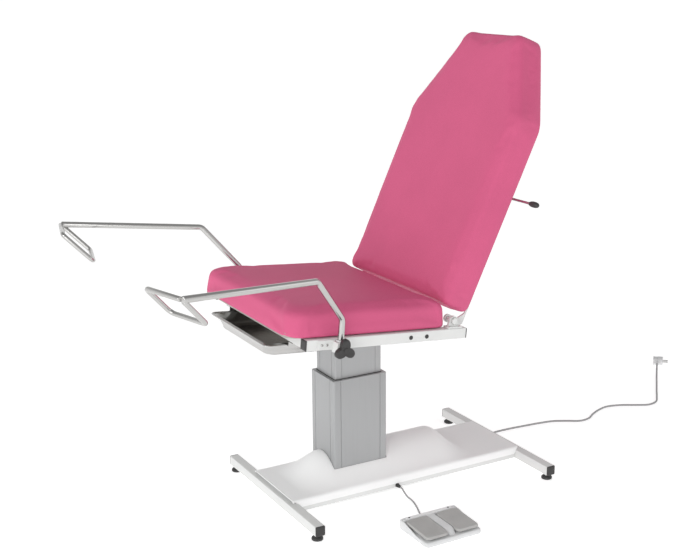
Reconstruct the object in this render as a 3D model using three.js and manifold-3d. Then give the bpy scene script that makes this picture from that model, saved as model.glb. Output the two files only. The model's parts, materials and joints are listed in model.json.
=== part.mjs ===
// Gynaecological examination table with an electric lifting column.
// Millimetres, +Z up. +X points from the foot end to the head end and -Y is the patient's left side.
// The origin lies on the floor, at the middle of the box round the table (mains lead left out).
import * as THREE from 'three';
import { mergeVertices } from 'three/addons/utils/BufferGeometryUtils.js';
import Module from 'manifold-3d';

const wasm = await Module();
wasm.setup();

// ---------- driving dimensions ----------
const GAP = 0.3;                       // clearance left between touching pieces
const TUBE = 30;                       // square steel tube of the base, outside
const WALL = 2;                        // wall of the steel tubes

// base frame
const FRONT_BEAM_X = -175;             // centre line of the front cross tube
const REAR_BEAM_X = 646;
const BEAM_LENGTH = 583;
const BEAM_BOTTOM = 17.6;
const LONG_TUBE_Y = 112;
const FOOT_Y = 274;
const FOOT_RADIUS = 17;

// lifting column
const COLUMN_X = 85.5;
const COLUMN_OUTER = [184, 142];
const COLUMN_INNER = [160, 118];
const COLUMN_RADIUS = 5;               // outside corners of both column tubes
const COLUMN_OUTER_WALL = 8;
const COLUMN_INNER_WALL = 6;
const COLUMN_TOP = 377;
const BASE_PLATE = 8;                  // thickness
const BASE_PLATE_TOP = BEAM_BOTTOM + TUBE + GAP + BASE_PLATE;
const INNER_COLUMN_BOTTOM = 212;
const INNER_COLUMN_LENGTH = 345;       // before its head is cut to the seat's slope
const MOTOR_HEIGHT = 62;
const SPINDLE_RADIUS = 9;
const SPINDLE_TOP = 383;
const NUT_BOTTOM = 274;
const NUT_TOP = 285;

// base cover
const COVER_FRONT = -178;
const COVER_REAR = 640;
const COVER_HALF_WIDTH = 131;
const COVER_TOP = 58;
const COVER_SHEET = 4;
const HUMP_HEIGHT = 76;

// seat frame: u runs rearward along the rails, w stands on them, and both are tilted about Y
const SEAT_TILT = 5;
const SEAT_X = -219;                   // front end of the rails at their lower edge
const SEAT_Z = 575;
const RAIL_LENGTH = 517;
const RAIL_HEIGHT = 31;
const RAIL_WIDTH = 29.5;
const RAIL_OUTER_Y = 310.4;
const SEAT_CUSHION = {
  front: -58, rear: 453, halfWidth: 298, bottom: 31.8, top: 106, edge: 18, rearCorner: 24, frontCorner: 52,
};
const SEAT_BOARD = { front: -46, rear: 434, halfWidth: 283, bottom: 31.5, thickness: 12, corner: 30 };

// backrest: x runs up the back from the hinge line, z stands out of its front face
const HINGE_U = 480;
const HINGE_W = 51;
const BACK_ANGLE = 69.6;               // between the seat plane and the back at rest
const BACK_FRONT = 34;
const BACK_REAR = -50;
const BACK_BOTTOM = 29;
const BACK_SHOULDER = 603;
const BACK_TOP = 855;
const BACK_HALF_BOTTOM = 279.5;
const BACK_HALF_SHOULDER = 284;
const BACK_HALF_TOP = 136;
const BACK_EDGE = 16;
const HINGE_ARM_Y = 262;               // inner face of each hinge arm
const HINGE_ARM = 6;                   // its thickness
const HINGE_FLANGE_Y = 225;            // inner edge of the flange that lies on the board
const HINGE_PIN_RADIUS = 6;
const HINGE_EAR_Y = 291;               // inner face of each bracket's upright ear
const HINGE_EAR = 8;
const BACK_TUBE = 25;                  // square tube of the back's frame
const BACK_LOWER_TUBE_X = 70;
const BACK_UPPER_TUBE_X = 620;
const BACK_SIDE_TUBE_Y = 150;
const BOARD = 12;                      // plywood thickness
const BACK_BOARD_INSET = 26;
const LEVER_X = 392;
const LEVER_Z = -70;

// gas spring under the seat, beside the column
const SPRING_Y = 115;
const SPRING_FOOT = [300, -30];        // lower eye, in seat coordinates u and w
const SPRING_LENGTH = 260.2;           // eye to eye at rest
const SPRING_ANGLE = 19.1;             // above the seat plane at rest
const SPRING_ARM = 66;                 // hinge line to upper eye
const SPRING_ARM_ANGLE = -66;          // from the back's own x axis

// leg supports
const CLAMP_U = 94;
const POST_Y = 326.5;
const LEG_SWIVEL = 14;
const LEG_TUBE_RADIUS = 9;
const LOOP_ROD_RADIUS = 7;
const CLAMP_TOP = 26;
const CLAMP_BOTTOM = -4;
const BUSH_OUTSIDE = 11.3;
const BUSH_INSIDE = 9.5;
const KNOB_W = 9;
const KNOB_MEAN_RADIUS = 23;
const KNOB_LOBE = 8.5;                 // how far its three lobes stand out

// instrument tray
const TRAY_FRONT = -64;
const TRAY_REAR = 190;
const TRAY_RIM_HALF = 193;
const TRAY_RIM_W = -12.7;
const TRAY_DEPTH = 40;
const TRAY_PAN_HALF = 171;
const TRAY_SHEET = 2;
const TRAY_TAPER = 14;                 // how far the pan draws in towards its floor
const RUNNER_LENGTH = 270;

// footswitch
const SWITCH = { front: -479, rear: -330, left: 60, right: 250, height: 14, corner: 12 };
const SWITCH_RIDGE_TOP = 31;
const SWITCH_BRIDGE_HALF = 11.5;       // bridge between the pedals
const PEDAL_THICKNESS = 8;
const PEDAL_BOTTOM = 22;

// leads
const CORD_RADIUS = 3.5;
const SWITCH_CORD_RADIUS = 2.8;

// ---------- finishes ----------
const finish = (color, roughness, metalness) => () =>
  new THREE.MeshStandardMaterial({ color, roughness, metalness });
const whiteSteel = finish(0xe6e6e3, 0.45, 0.2);
const columnAluminium = finish(0xadafb2, 0.45, 0.8);
const coverPlastic = finish(0xf4f4f3, 0.4, 0);
const blackPlastic = finish(0x2e2d2d, 0.6, 0);
const stainless = finish(0xb9b8b2, 0.3, 1);
const darkSteel = finish(0x6a6d70, 0.5, 0.9);
const pinkVinyl = finish(0xd1658c, 0.5, 0);
const filmPlywood = finish(0x6e655d, 0.7, 0);
const greyCord = finish(0xa5a3a5, 0.6, 0);
const greyHousing = finish(0xc4c5c4, 0.55, 0);
const greyPedal = finish(0x9a9a97, 0.6, 0);

// ---------- helpers ----------
const rad = THREE.MathUtils.degToRad;
const table = new THREE.Group();
const seat = new THREE.Group();
seat.position.set(SEAT_X, 0, SEAT_Z);
seat.rotation.y = rad(SEAT_TILT);
table.add(seat);
const back = new THREE.Group();
back.position.set(HINGE_U, 0, HINGE_W);
back.rotation.y = -rad(BACK_ANGLE);
seat.add(back);

function piece(parent, name, geometry, material) {
  const mesh = new THREE.Mesh(geometry, material());
  mesh.name = name;
  parent.add(mesh);
  return mesh;
}

function block(x0, x1, y0, y1, z0, z1) {
  const geometry = new THREE.BoxGeometry(x1 - x0, y1 - y0, z1 - z0);
  return geometry.translate((x0 + x1) / 2, (y0 + y1) / 2, (z0 + z1) / 2);
}

// cylinder about an axis through a centre: 'x', 'y' or 'z'
function cylinder(radius, length, axis, x, y, z, sides = 16) {
  const geometry = new THREE.CylinderGeometry(radius, radius, length, sides);
  if (axis === 'x') geometry.rotateZ(Math.PI / 2);
  if (axis === 'z') geometry.rotateX(Math.PI / 2);
  return geometry.translate(x, y, z);
}

// rounded rectangle about the origin; its two corners at -x may have a radius of their own
function roundedRect(width, height, radius, frontRadius = radius) {
  const w = width / 2;
  const h = height / 2;
  const shape = new THREE.Shape();
  shape.moveTo(-w + frontRadius, -h);
  shape.lineTo(w - radius, -h);
  shape.absarc(w - radius, -h + radius, radius, -Math.PI / 2, 0);
  shape.lineTo(w, h - radius);
  shape.absarc(w - radius, h - radius, radius, 0, Math.PI / 2);
  shape.lineTo(-w + frontRadius, h);
  shape.absarc(-w + frontRadius, h - frontRadius, frontRadius, Math.PI / 2, Math.PI);
  shape.lineTo(-w, -h + frontRadius);
  shape.absarc(-w + frontRadius, -h + frontRadius, frontRadius, Math.PI, Math.PI * 1.5);
  return shape;
}

// hollow rectangular tube along Z from 0 to length, centred in X and Y
function hollowTube(width, height, wall, radius, length, curveSegments = 3) {
  const shape = roundedRect(width, height, radius);
  const inner = roundedRect(width - 2 * wall, height - 2 * wall, Math.max(radius - wall, 0.5));
  shape.holes.push(new THREE.Path(inner.getPoints(curveSegments)));
  return new THREE.ExtrudeGeometry(shape, { depth: length, bevelEnabled: false, curveSegments });
}

function tubeAlongX(width, height, x0, x1, y, z) {
  const geometry = hollowTube(width, height, WALL, 2.5, x1 - x0);
  return geometry.rotateX(Math.PI / 2).rotateZ(Math.PI / 2).translate(x0, y, z);
}

function tubeAlongY(width, height, y0, y1, x, z) {
  const geometry = hollowTube(width, height, WALL, 2.5, y1 - y0);
  return geometry.rotateX(-Math.PI / 2).translate(x, y0, z);
}

// flat plate cut from a shape drawn in X and Z, between two Y values
function plateXZ(shape, y0, y1, curveSegments = 8) {
  const geometry = new THREE.ExtrudeGeometry(shape, { depth: y1 - y0, bevelEnabled: false, curveSegments });
  return geometry.rotateX(Math.PI / 2).translate(0, y1, 0);
}

function toSolid(geometry) {
  const bare = geometry.clone();
  bare.deleteAttribute('normal');
  bare.deleteAttribute('uv');
  const merged = mergeVertices(bare, 1e-4);
  return new wasm.Manifold(new wasm.Mesh({
    numProp: 3,
    vertProperties: new Float32Array(merged.attributes.position.array),
    triVerts: new Uint32Array(merged.index.array),
  }));
}

function toGeometry(solid) {
  const mesh = solid.getMesh();
  const geometry = new THREE.BufferGeometry();
  geometry.setAttribute('position', new THREE.BufferAttribute(new Float32Array(mesh.vertProperties), 3));
  geometry.setIndex(new THREE.BufferAttribute(new Uint32Array(mesh.triVerts), 1));
  geometry.computeVertexNormals();
  return geometry;
}

const join = (...parts) => toGeometry(parts.map(toSolid).reduce((a, b) => a.add(b)));
const cut = (body, ...tools) => toGeometry(tools.map(toSolid).reduce((a, b) => a.subtract(b), toSolid(body)));

// polyline with each inner corner rounded
function bentPath(points, radius) {
  const path = new THREE.CurvePath();
  let from = points[0];
  for (let i = 1; i < points.length - 1; i += 1) {
    const corner = points[i];
    const inward = from.clone().sub(corner).setLength(radius);
    const outward = points[i + 1].clone().sub(corner).setLength(radius);
    const start = corner.clone().add(inward);
    const end = corner.clone().add(outward);
    path.add(new THREE.LineCurve3(from, start));
    path.add(new THREE.QuadraticBezierCurve3(start, corner, end));
    from = end;
  }
  path.add(new THREE.LineCurve3(from, points[points.length - 1]));
  return path;
}

function roundBar(path, radius, steps, sides) {
  const section = new THREE.Shape();
  for (let i = 0; i < sides; i += 1) {
    const angle = (i / sides) * Math.PI * 2;
    const x = Math.cos(angle) * radius;
    const y = Math.sin(angle) * radius;
    if (i === 0) section.moveTo(x, y);
    else section.lineTo(x, y);
  }
  return new THREE.ExtrudeGeometry(section, { steps, extrudePath: path, bevelEnabled: false });
}

// solid of revolution about Z from [radius, height] pairs that start and end on the axis
function turned(profile, segments = 14) {
  const points = profile.map(([r, z]) => new THREE.Vector2(r, z));
  return new THREE.LatheGeometry(points, segments).rotateX(Math.PI / 2);
}

// ---------- base frame ----------
const beamZ = BEAM_BOTTOM + TUBE / 2;
for (const [name, x] of [['front_cross_tube', FRONT_BEAM_X], ['rear_cross_tube', REAR_BEAM_X]]) {
  piece(table, name, tubeAlongY(TUBE, TUBE, -BEAM_LENGTH / 2, BEAM_LENGTH / 2, x, beamZ), whiteSteel);
}
for (const [side, y] of [['left', -LONG_TUBE_Y], ['right', LONG_TUBE_Y]]) {
  const x0 = FRONT_BEAM_X + TUBE / 2 + GAP;
  const x1 = REAR_BEAM_X - TUBE / 2 - GAP;
  piece(table, `${side}_long_tube`, tubeAlongX(TUBE, TUBE, x0, x1, y, beamZ), whiteSteel);
}
const footProfile = [[0, 0], [FOOT_RADIUS - 1.5, 0], [FOOT_RADIUS, 2], [FOOT_RADIUS, 9],
  [FOOT_RADIUS - 4, 12], [6, 12.5], [6, BEAM_BOTTOM - GAP], [0, BEAM_BOTTOM - GAP]];
for (const [end, x] of [['front', FRONT_BEAM_X], ['rear', REAR_BEAM_X]]) {
  for (const [side, y] of [['left', -FOOT_Y], ['right', FOOT_Y]]) {
    const foot = piece(table, `${end}_${side}_foot`, turned(footProfile), blackPlastic);
    foot.position.set(x, y, 0);
  }
}
piece(table, 'column_base_plate',
  block(-30, 350, -122, 122, BASE_PLATE_TOP - BASE_PLATE, BASE_PLATE_TOP), darkSteel);

// ---------- lifting column ----------
const columnFloor = BASE_PLATE_TOP + GAP;
const outerColumn = hollowTube(...COLUMN_OUTER, COLUMN_OUTER_WALL, COLUMN_RADIUS, COLUMN_TOP - columnFloor);
outerColumn.translate(COLUMN_X, 0, columnFloor);
piece(table, 'outer_column', outerColumn, columnAluminium);
const innerBlank = hollowTube(...COLUMN_INNER, COLUMN_INNER_WALL, COLUMN_RADIUS, INNER_COLUMN_LENGTH);
innerBlank.translate(COLUMN_X, 0, INNER_COLUMN_BOTTOM);
// the head of the inner column is cut parallel to the seat frame, under its top plate
const headCut = block(-100, 700, -200, 200, -10, 200);
headCut.applyMatrix4(new THREE.Matrix4().makeRotationY(rad(SEAT_TILT)).setPosition(SEAT_X, 0, SEAT_Z));
piece(table, 'inner_column', cut(innerBlank, headCut), columnAluminium);
const motorProfile = [[0, 0], [33, 0], [35, 3], [35, MOTOR_HEIGHT - 4], [26, MOTOR_HEIGHT], [0, MOTOR_HEIGHT]];
piece(table, 'lift_motor', turned(motorProfile), darkSteel).position.set(COLUMN_X, 0, columnFloor);
const spindleFoot = columnFloor + MOTOR_HEIGHT + GAP;
piece(table, 'lift_spindle', cylinder(SPINDLE_RADIUS, SPINDLE_TOP - spindleFoot, 'z',
  COLUMN_X, 0, (SPINDLE_TOP + spindleFoot) / 2, 10), stainless);
const nutPlate = block(COLUMN_X - 71, COLUMN_X + 71, -50, 50, NUT_BOTTOM, NUT_TOP);
const nutBore = cylinder(SPINDLE_RADIUS + 2, 30, 'z', COLUMN_X, 0, (NUT_BOTTOM + NUT_TOP) / 2);
piece(table, 'spindle_nut', cut(nutPlate, nutBore), darkSteel);
piece(table, 'control_box', block(205, 335, -60, 60, BASE_PLATE_TOP + GAP, BASE_PLATE_TOP + 48), blackPlastic);

// ---------- base cover: a formed sheet with one long hump over the column foot ----------
const smooth = (t) => {
  const s = Math.min(Math.max(t, 0), 1);
  return s * s * (3 - 2 * s);
};
function coverHeight(x, y) {
  const along = smooth((x + 130) / 120) * (1 - smooth((x - 370) / 110));
  const across = (0.5 * (1 + Math.cos(Math.PI * Math.min(Math.abs(y) / COVER_HALF_WIDTH, 1)))) ** 0.7;
  return HUMP_HEIGHT * along * across;
}
function coverSheet() {
  const columns = 26;
  const rows = 12;
  const length = COVER_REAR - COVER_FRONT;
  const grid = new THREE.BoxGeometry(length, 2 * COVER_HALF_WIDTH, COVER_SHEET, columns, rows, 1);
  grid.translate((COVER_FRONT + COVER_REAR) / 2, 0, COVER_TOP - COVER_SHEET / 2);
  const position = grid.attributes.position;
  for (let i = 0; i < position.count; i += 1) {
    position.setZ(i, position.getZ(i) + coverHeight(position.getX(i), position.getY(i)));
  }
  return grid;
}
const skirtFront = FRONT_BEAM_X + TUBE / 2 + 3;
const skirtRear = REAR_BEAM_X - TUBE / 2 - 3;
const skirtSides = [-1, 1].map((side) => block(skirtFront, skirtRear,
  Math.min(side * COVER_HALF_WIDTH, side * (COVER_HALF_WIDTH - 3)),
  Math.max(side * COVER_HALF_WIDTH, side * (COVER_HALF_WIDTH - 3)), 34, COVER_TOP - 1));
const columnHole = new THREE.ExtrudeGeometry(
  roundedRect(COLUMN_OUTER[0] + 3, COLUMN_OUTER[1] + 3, COLUMN_RADIUS + 1.5),
  { depth: 200, bevelEnabled: false, curveSegments: 5 },
);
columnHole.translate(COLUMN_X, 0, 30);
piece(table, 'base_cover', cut(join(coverSheet(), ...skirtSides), columnHole), coverPlastic);

// ---------- seat frame ----------
const railY = RAIL_OUTER_Y - RAIL_WIDTH / 2;
const railInnerY = RAIL_OUTER_Y - RAIL_WIDTH;
const sides = [['left', -1], ['right', 1]];
for (const [side, s] of sides) {
  const rail = tubeAlongX(RAIL_WIDTH, RAIL_HEIGHT, 0, RAIL_LENGTH, s * railY, RAIL_HEIGHT / 2);
  piece(seat, `${side}_seat_rail`, rail, whiteSteel);
}
for (const [name, u] of [['front', 14.5], ['middle', 262.5], ['rear', 334.5]]) {
  const end = railInnerY - GAP;
  const member = tubeAlongY(25, RAIL_HEIGHT - GAP, -end, end, u, (RAIL_HEIGHT + GAP) / 2);
  piece(seat, `${name}_cross_member`, member, whiteSteel);
}
piece(seat, 'column_top_plate', block(206, 400, -98, 98, -9.7, 0), darkSteel);
const boardTop = SEAT_BOARD.bottom + SEAT_BOARD.thickness;
// the board's outline grown by a margin, standing between two heights
function seatBoardForm(margin, low, high) {
  const { front, rear, halfWidth, corner } = SEAT_BOARD;
  const outline = roundedRect(rear - front + 2 * margin, 2 * (halfWidth + margin), corner + margin);
  const depth = high - low;
  const form = new THREE.ExtrudeGeometry(outline, { depth, bevelEnabled: false, curveSegments: 4 });
  return form.translate((front + rear) / 2, 0, low);
}
piece(seat, 'seat_board', seatBoardForm(0, SEAT_BOARD.bottom, boardTop), filmPlywood);

function seatCushion() {
  const { front, rear, halfWidth, bottom, top, edge, rearCorner, frontCorner } = SEAT_CUSHION;
  const shape = roundedRect(rear - front - 2 * edge, 2 * (halfWidth - edge),
    rearCorner - edge, frontCorner - edge);
  const form = new THREE.ExtrudeGeometry(shape, {
    depth: top - bottom - edge, bevelThickness: edge, bevelSize: edge, bevelSegments: 3, curveSegments: 4,
  });
  form.translate((front + rear) / 2, 0, bottom);
  const underside = block(front - 10, rear + 10, -halfWidth - 10, halfWidth + 10, bottom - edge - 5, bottom);
  const recess = seatBoardForm(GAP, bottom - 1, boardTop + GAP);
  return cut(form, underside, recess);
}
piece(seat, 'seat_cushion', seatCushion(), pinkVinyl);

for (const [side, s] of sides) {
  const shape = new THREE.Shape();
  shape.moveTo(HINGE_U - 20, RAIL_HEIGHT + GAP);
  shape.lineTo(HINGE_U + 20, RAIL_HEIGHT + GAP);
  shape.absarc(HINGE_U, HINGE_W, 14, 0, Math.PI);
  const earOuter = HINGE_EAR_Y + HINGE_EAR;
  const ear = plateXZ(shape, s > 0 ? HINGE_EAR_Y : -earOuter, s > 0 ? earOuter : -HINGE_EAR_Y);
  const flange = block(HINGE_U - 24, HINGE_U + 24, s > 0 ? 283 : -308, s > 0 ? 308 : -283,
    RAIL_HEIGHT + GAP, RAIL_HEIGHT + 4.5);
  const pinInner = HINGE_ARM_Y - 2;
  const pinOuter = earOuter + 2;
  const pinMiddle = (pinInner + pinOuter) / 2;
  const pin = cylinder(HINGE_PIN_RADIUS, pinOuter - pinInner, 'y', HINGE_U, s * pinMiddle, HINGE_W);
  const head = cylinder(9, 5, 'y', HINGE_U, s * (earOuter + 2.4), HINGE_W, 6);
  piece(seat, `${side}_hinge_bracket`, join(ear, flange, pin, head), whiteSteel);
}

// ---------- tray and its runners ----------
for (const [side, s] of sides) {
  const shape = new THREE.Shape();
  shape.moveTo(s * 178, -16);
  shape.lineTo(s * 198, -16);
  shape.lineTo(s * 198, -2.3);
  shape.lineTo(s * 222, -2.3);
  shape.lineTo(s * 222, 0);
  shape.lineTo(s * 195.7, 0);
  shape.lineTo(s * 195.7, -13.7);
  shape.lineTo(s * 178, -13.7);
  const runner = new THREE.ExtrudeGeometry(shape, { depth: RUNNER_LENGTH, bevelEnabled: false });
  // the profile is drawn in Y and Z, and extruded along X
  runner.applyMatrix4(new THREE.Matrix4().set(0, 0, 1, 4, 1, 0, 0, 0, 0, 1, 0, 0, 0, 0, 0, 1));
  piece(seat, `${side}_tray_runner`, runner, stainless);
}

// box whose lower face is smaller than its upper one by an inset all round
function taperedPan(x0, x1, halfWidth, z0, z1, inset) {
  const geometry = block(x0, x1, -halfWidth, halfWidth, z0, z1);
  const position = geometry.attributes.position;
  const middle = (x0 + x1) / 2;
  for (let i = 0; i < position.count; i += 1) {
    if (position.getZ(i) < (z0 + z1) / 2) {
      position.setX(i, position.getX(i) - Math.sign(position.getX(i) - middle) * inset);
      position.setY(i, position.getY(i) - Math.sign(position.getY(i)) * inset);
    }
  }
  return geometry;
}
const trayTop = TRAY_RIM_W + TRAY_SHEET;
const trayBottom = trayTop - TRAY_DEPTH;
const trayRim = block(TRAY_FRONT, TRAY_REAR, -TRAY_RIM_HALF, TRAY_RIM_HALF, TRAY_RIM_W, trayTop);
// the pan drawn in by a sheet's thickness, or by none
const trayPan = (sheet) => taperedPan(TRAY_FRONT + 12 + sheet, TRAY_REAR - 12 - sheet, TRAY_PAN_HALF - sheet,
  trayBottom + sheet, trayTop + sheet / 2, TRAY_TAPER);
piece(seat, 'instrument_tray', cut(join(trayRim, trayPan(0)), trayPan(TRAY_SHEET)), stainless);

// ---------- leg supports with their clamps ----------
function knobShape() {
  const shape = new THREE.Shape();
  const steps = 30;
  for (let i = 0; i < steps; i += 1) {
    const angle = (i / steps) * Math.PI * 2;
    const radius = KNOB_MEAN_RADIUS + KNOB_LOBE * Math.cos(3 * angle);
    const x = radius * Math.cos(angle + Math.PI / 2);
    const y = radius * Math.sin(angle + Math.PI / 2);
    if (i === 0) shape.moveTo(x, y);
    else shape.lineTo(x, y);
  }
  return shape;
}
for (const [side, s] of sides) {
  const inner = RAIL_OUTER_Y + GAP;
  const outer = POST_Y + 16;
  const body = s > 0 ? block(CLAMP_U - 17, CLAMP_U + 17, inner, outer, CLAMP_BOTTOM, CLAMP_TOP)
    : block(CLAMP_U - 17, CLAMP_U + 17, -outer, -inner, CLAMP_BOTTOM, CLAMP_TOP);
  const tongue = s > 0 ? block(CLAMP_U - 62, CLAMP_U - 10, inner, inner + 4, 2, 29)
    : block(CLAMP_U - 62, CLAMP_U - 10, -inner - 4, -inner, 2, 29);
  const bore = cylinder(BUSH_OUTSIDE + 0.4, 60, 'z', CLAMP_U, s * POST_Y, 10, 20);
  const screwHole = cylinder(4.5, 20, 'y', CLAMP_U, s * (outer - 2), KNOB_W, 12);
  piece(seat, `${side}_leg_clamp`, cut(join(body, tongue), bore, screwHole), whiteSteel);

  const bush = new THREE.Shape();
  bush.absarc(0, 0, BUSH_OUTSIDE, 0, Math.PI * 2);
  const hole = new THREE.Path();
  hole.absarc(0, 0, BUSH_INSIDE, 0, Math.PI * 2, true);
  bush.holes.push(hole);
  const bushing = new THREE.ExtrudeGeometry(bush, {
    depth: CLAMP_TOP - CLAMP_BOTTOM, bevelEnabled: false, curveSegments: 10,
  });
  bushing.translate(CLAMP_U, s * POST_Y, CLAMP_BOTTOM);
  piece(seat, `${side}_clamp_bush`, bushing, greyHousing);

  const disc = new THREE.ExtrudeGeometry(knobShape(), {
    depth: 13, bevelThickness: 2, bevelSize: 2, bevelOffset: -2, bevelSegments: 1,
  });
  disc.rotateX(s > 0 ? -Math.PI / 2 : Math.PI / 2);
  disc.translate(CLAMP_U, s * (outer + 4), KNOB_W);
  const screw = cylinder(4, 10, 'y', CLAMP_U, s * (outer + 1), KNOB_W, 10);
  piece(seat, `${side}_clamp_knob`, join(disc, screw), blackPlastic);

  const support = new THREE.Group();
  support.position.set(CLAMP_U, s * POST_Y, 0);
  support.rotation.z = -s * rad(LEG_SWIVEL);
  seat.add(support);
  // forward along the leg, outward from the seat, and up the post
  const at = (forward, outward, up) => new THREE.Vector3(-forward, s * outward, up);
  const post = [at(0, 0, -14), at(0, 0, 89), at(124, 27, 210), at(550, 27, 210)];
  const corner = post[3];
  const inward = at(0, -147, -4);
  const rearward = at(-88, -16, -74);
  const loop = [corner, corner.clone().add(inward), corner.clone().add(inward).add(rearward),
    corner.clone().add(rearward), corner.clone().add(rearward.clone().multiplyScalar(0.03))];
  const mainTube = roundBar(bentPath(post, 22), LEG_TUBE_RADIUS, 36, 10);
  const loopRod = roundBar(bentPath(loop, 16), LOOP_ROD_RADIUS, 36, 8);
  piece(support, `${side}_leg_support`, join(mainTube, loopRod), stainless);
}

// ---------- gas spring ----------
const [footU, footW] = SPRING_FOOT;
const anchorPlate = block(252, footU + 12, SPRING_Y - 13, SPRING_Y + 13, -5, 0);
const anchorEars = [-1, 1].map((s) => block(footU - 10, footU + 10,
  s > 0 ? SPRING_Y + 8 : SPRING_Y - 12, s > 0 ? SPRING_Y + 12 : SPRING_Y - 8, footW - 10, -4));
const anchorPin = cylinder(4, 22, 'y', footU, SPRING_Y, footW, 12);
piece(seat, 'gas_spring_anchor', join(anchorPlate, ...anchorEars, anchorPin), darkSteel);

const spring = new THREE.Group();
spring.position.set(footU, SPRING_Y, footW);
spring.rotation.y = -rad(SPRING_ANGLE);
seat.add(spring);
const alongX = (geometry) => geometry.rotateY(Math.PI / 2);
const barrelProfile = [[0, 10], [7, 10], [10, 15], [10, 138], [8, 140], [4.7, 140], [4.7, 60], [0, 60]];
const barrel = alongX(turned(barrelProfile));
const lowerEye = cylinder(9, 13, 'y', 0, 0, 0);
const neck = block(4, 14, -5, 5, -5, 5);
const lowerBore = cylinder(4.6, 20, 'y', 0, 0, 0);
piece(spring, 'gas_spring_cylinder', cut(join(barrel, lowerEye, neck), lowerBore), darkSteel);
const rod = cylinder(4, 150, 'x', SPRING_LENGTH - 75, 0, 0, 12);
const upperEye = cylinder(8.5, 12, 'y', SPRING_LENGTH, 0, 0);
piece(spring, 'gas_spring_rod', join(rod, upperEye), stainless);

// ---------- backrest ----------
function backOutline(inset) {
  const half = (value) => value - inset;
  const points = [[BACK_BOTTOM + inset, -half(BACK_HALF_BOTTOM)], [BACK_SHOULDER, -half(BACK_HALF_SHOULDER)],
    [BACK_TOP - inset, -half(BACK_HALF_TOP)], [BACK_TOP - inset, half(BACK_HALF_TOP)],
    [BACK_SHOULDER, half(BACK_HALF_SHOULDER)], [BACK_BOTTOM + inset, half(BACK_HALF_BOTTOM)]];
  const corner = 24;
  const shape = new THREE.Shape();
  points.forEach(([x, y], i) => {
    const before = points[(i + points.length - 1) % points.length];
    const after = points[(i + 1) % points.length];
    const here = new THREE.Vector2(x, y);
    const start = here.clone().add(new THREE.Vector2(...before).sub(here).setLength(corner));
    const end = here.clone().add(new THREE.Vector2(...after).sub(here).setLength(corner));
    if (i === 0) shape.moveTo(start.x, start.y);
    else shape.lineTo(start.x, start.y);
    shape.quadraticCurveTo(x, y, end.x, end.y);
  });
  return shape;
}
const backForm = new THREE.ExtrudeGeometry(backOutline(BACK_EDGE), {
  depth: BACK_FRONT - BACK_REAR - 2 * BACK_EDGE, bevelThickness: BACK_EDGE, bevelSize: BACK_EDGE,
  bevelSegments: 3, curveSegments: 3,
});
backForm.translate(0, 0, BACK_REAR + BACK_EDGE);
const backBoardShape = (inset) => new THREE.ExtrudeGeometry(backOutline(inset), {
  depth: BOARD, bevelEnabled: false, curveSegments: 3,
});
const boardRecess = backBoardShape(BACK_BOARD_INSET - GAP).scale(1, 1, 1.1).translate(0, 0, BACK_REAR - 0.9);
piece(back, 'backrest_cushion', cut(backForm, boardRecess), pinkVinyl);
piece(back, 'backrest_board', backBoardShape(BACK_BOARD_INSET).translate(0, 0, BACK_REAR), filmPlywood);

const frameZ = BACK_REAR - GAP - BACK_TUBE / 2;
const sideTubeStart = BACK_LOWER_TUBE_X + BACK_TUBE / 2 + GAP;
const sideTubeEnd = BACK_UPPER_TUBE_X - BACK_TUBE / 2 - GAP;
piece(back, 'backrest_lower_tube', tubeAlongY(BACK_TUBE, BACK_TUBE,
  -(HINGE_FLANGE_Y - 2 * GAP), HINGE_FLANGE_Y - 2 * GAP, BACK_LOWER_TUBE_X, frameZ), whiteSteel);
piece(back, 'backrest_upper_tube', tubeAlongY(BACK_TUBE, BACK_TUBE,
  -BACK_SIDE_TUBE_Y - BACK_TUBE / 2, BACK_SIDE_TUBE_Y + BACK_TUBE / 2, BACK_UPPER_TUBE_X, frameZ), whiteSteel);
for (const [side, s] of sides) {
  const tube = tubeAlongX(BACK_TUBE, BACK_TUBE, sideTubeStart, sideTubeEnd, s * BACK_SIDE_TUBE_Y, frameZ);
  piece(back, `${side}_backrest_tube`, tube, whiteSteel);
  const arm = new THREE.Shape();
  // a hub round the pin, a strap that passes below the pad, and a tail that lies on the board
  const tailRear = BACK_REAR - GAP - HINGE_ARM;
  arm.absarc(0, 0, 12, 0, Math.PI);
  arm.lineTo(-12, tailRear + 12);
  arm.lineTo(0, tailRear);
  arm.lineTo(96, tailRear);
  arm.lineTo(96, BACK_REAR - GAP);
  arm.lineTo(30, BACK_REAR - GAP);
  arm.lineTo(12, -34);
  const pinHole = new THREE.Path();
  pinHole.absarc(0, 0, HINGE_PIN_RADIUS + 0.5, 0, Math.PI * 2, true);
  arm.holes.push(pinHole);
  const y0 = s > 0 ? HINGE_ARM_Y : -HINGE_ARM_Y - HINGE_ARM;
  const strap = plateXZ(arm, y0, y0 + HINGE_ARM, 12);
  const flangeEdges = [s * HINGE_FLANGE_Y, s * (HINGE_ARM_Y + 1)].sort((a, b) => a - b);
  const flange = block(44, 96, ...flangeEdges, tailRear, BACK_REAR - GAP);
  piece(back, `${side}_hinge_arm`, join(strap, flange), whiteSteel);
}
const eyeX = SPRING_ARM * Math.cos(rad(SPRING_ARM_ANGLE));
const eyeZ = SPRING_ARM * Math.sin(rad(SPRING_ARM_ANGLE));
const forkBridge = block(49, 57.2, SPRING_Y - 19, SPRING_Y + 19, frameZ - 12, frameZ + 10);
const forkEars = [-1, 1].map((s) => block(eyeX - 12, 50,
  s > 0 ? SPRING_Y + 14 : SPRING_Y - 19, s > 0 ? SPRING_Y + 19 : SPRING_Y - 14, eyeZ - 11, eyeZ + 9));
piece(back, 'gas_spring_fork', join(forkBridge, ...forkEars), darkSteel);

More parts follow.
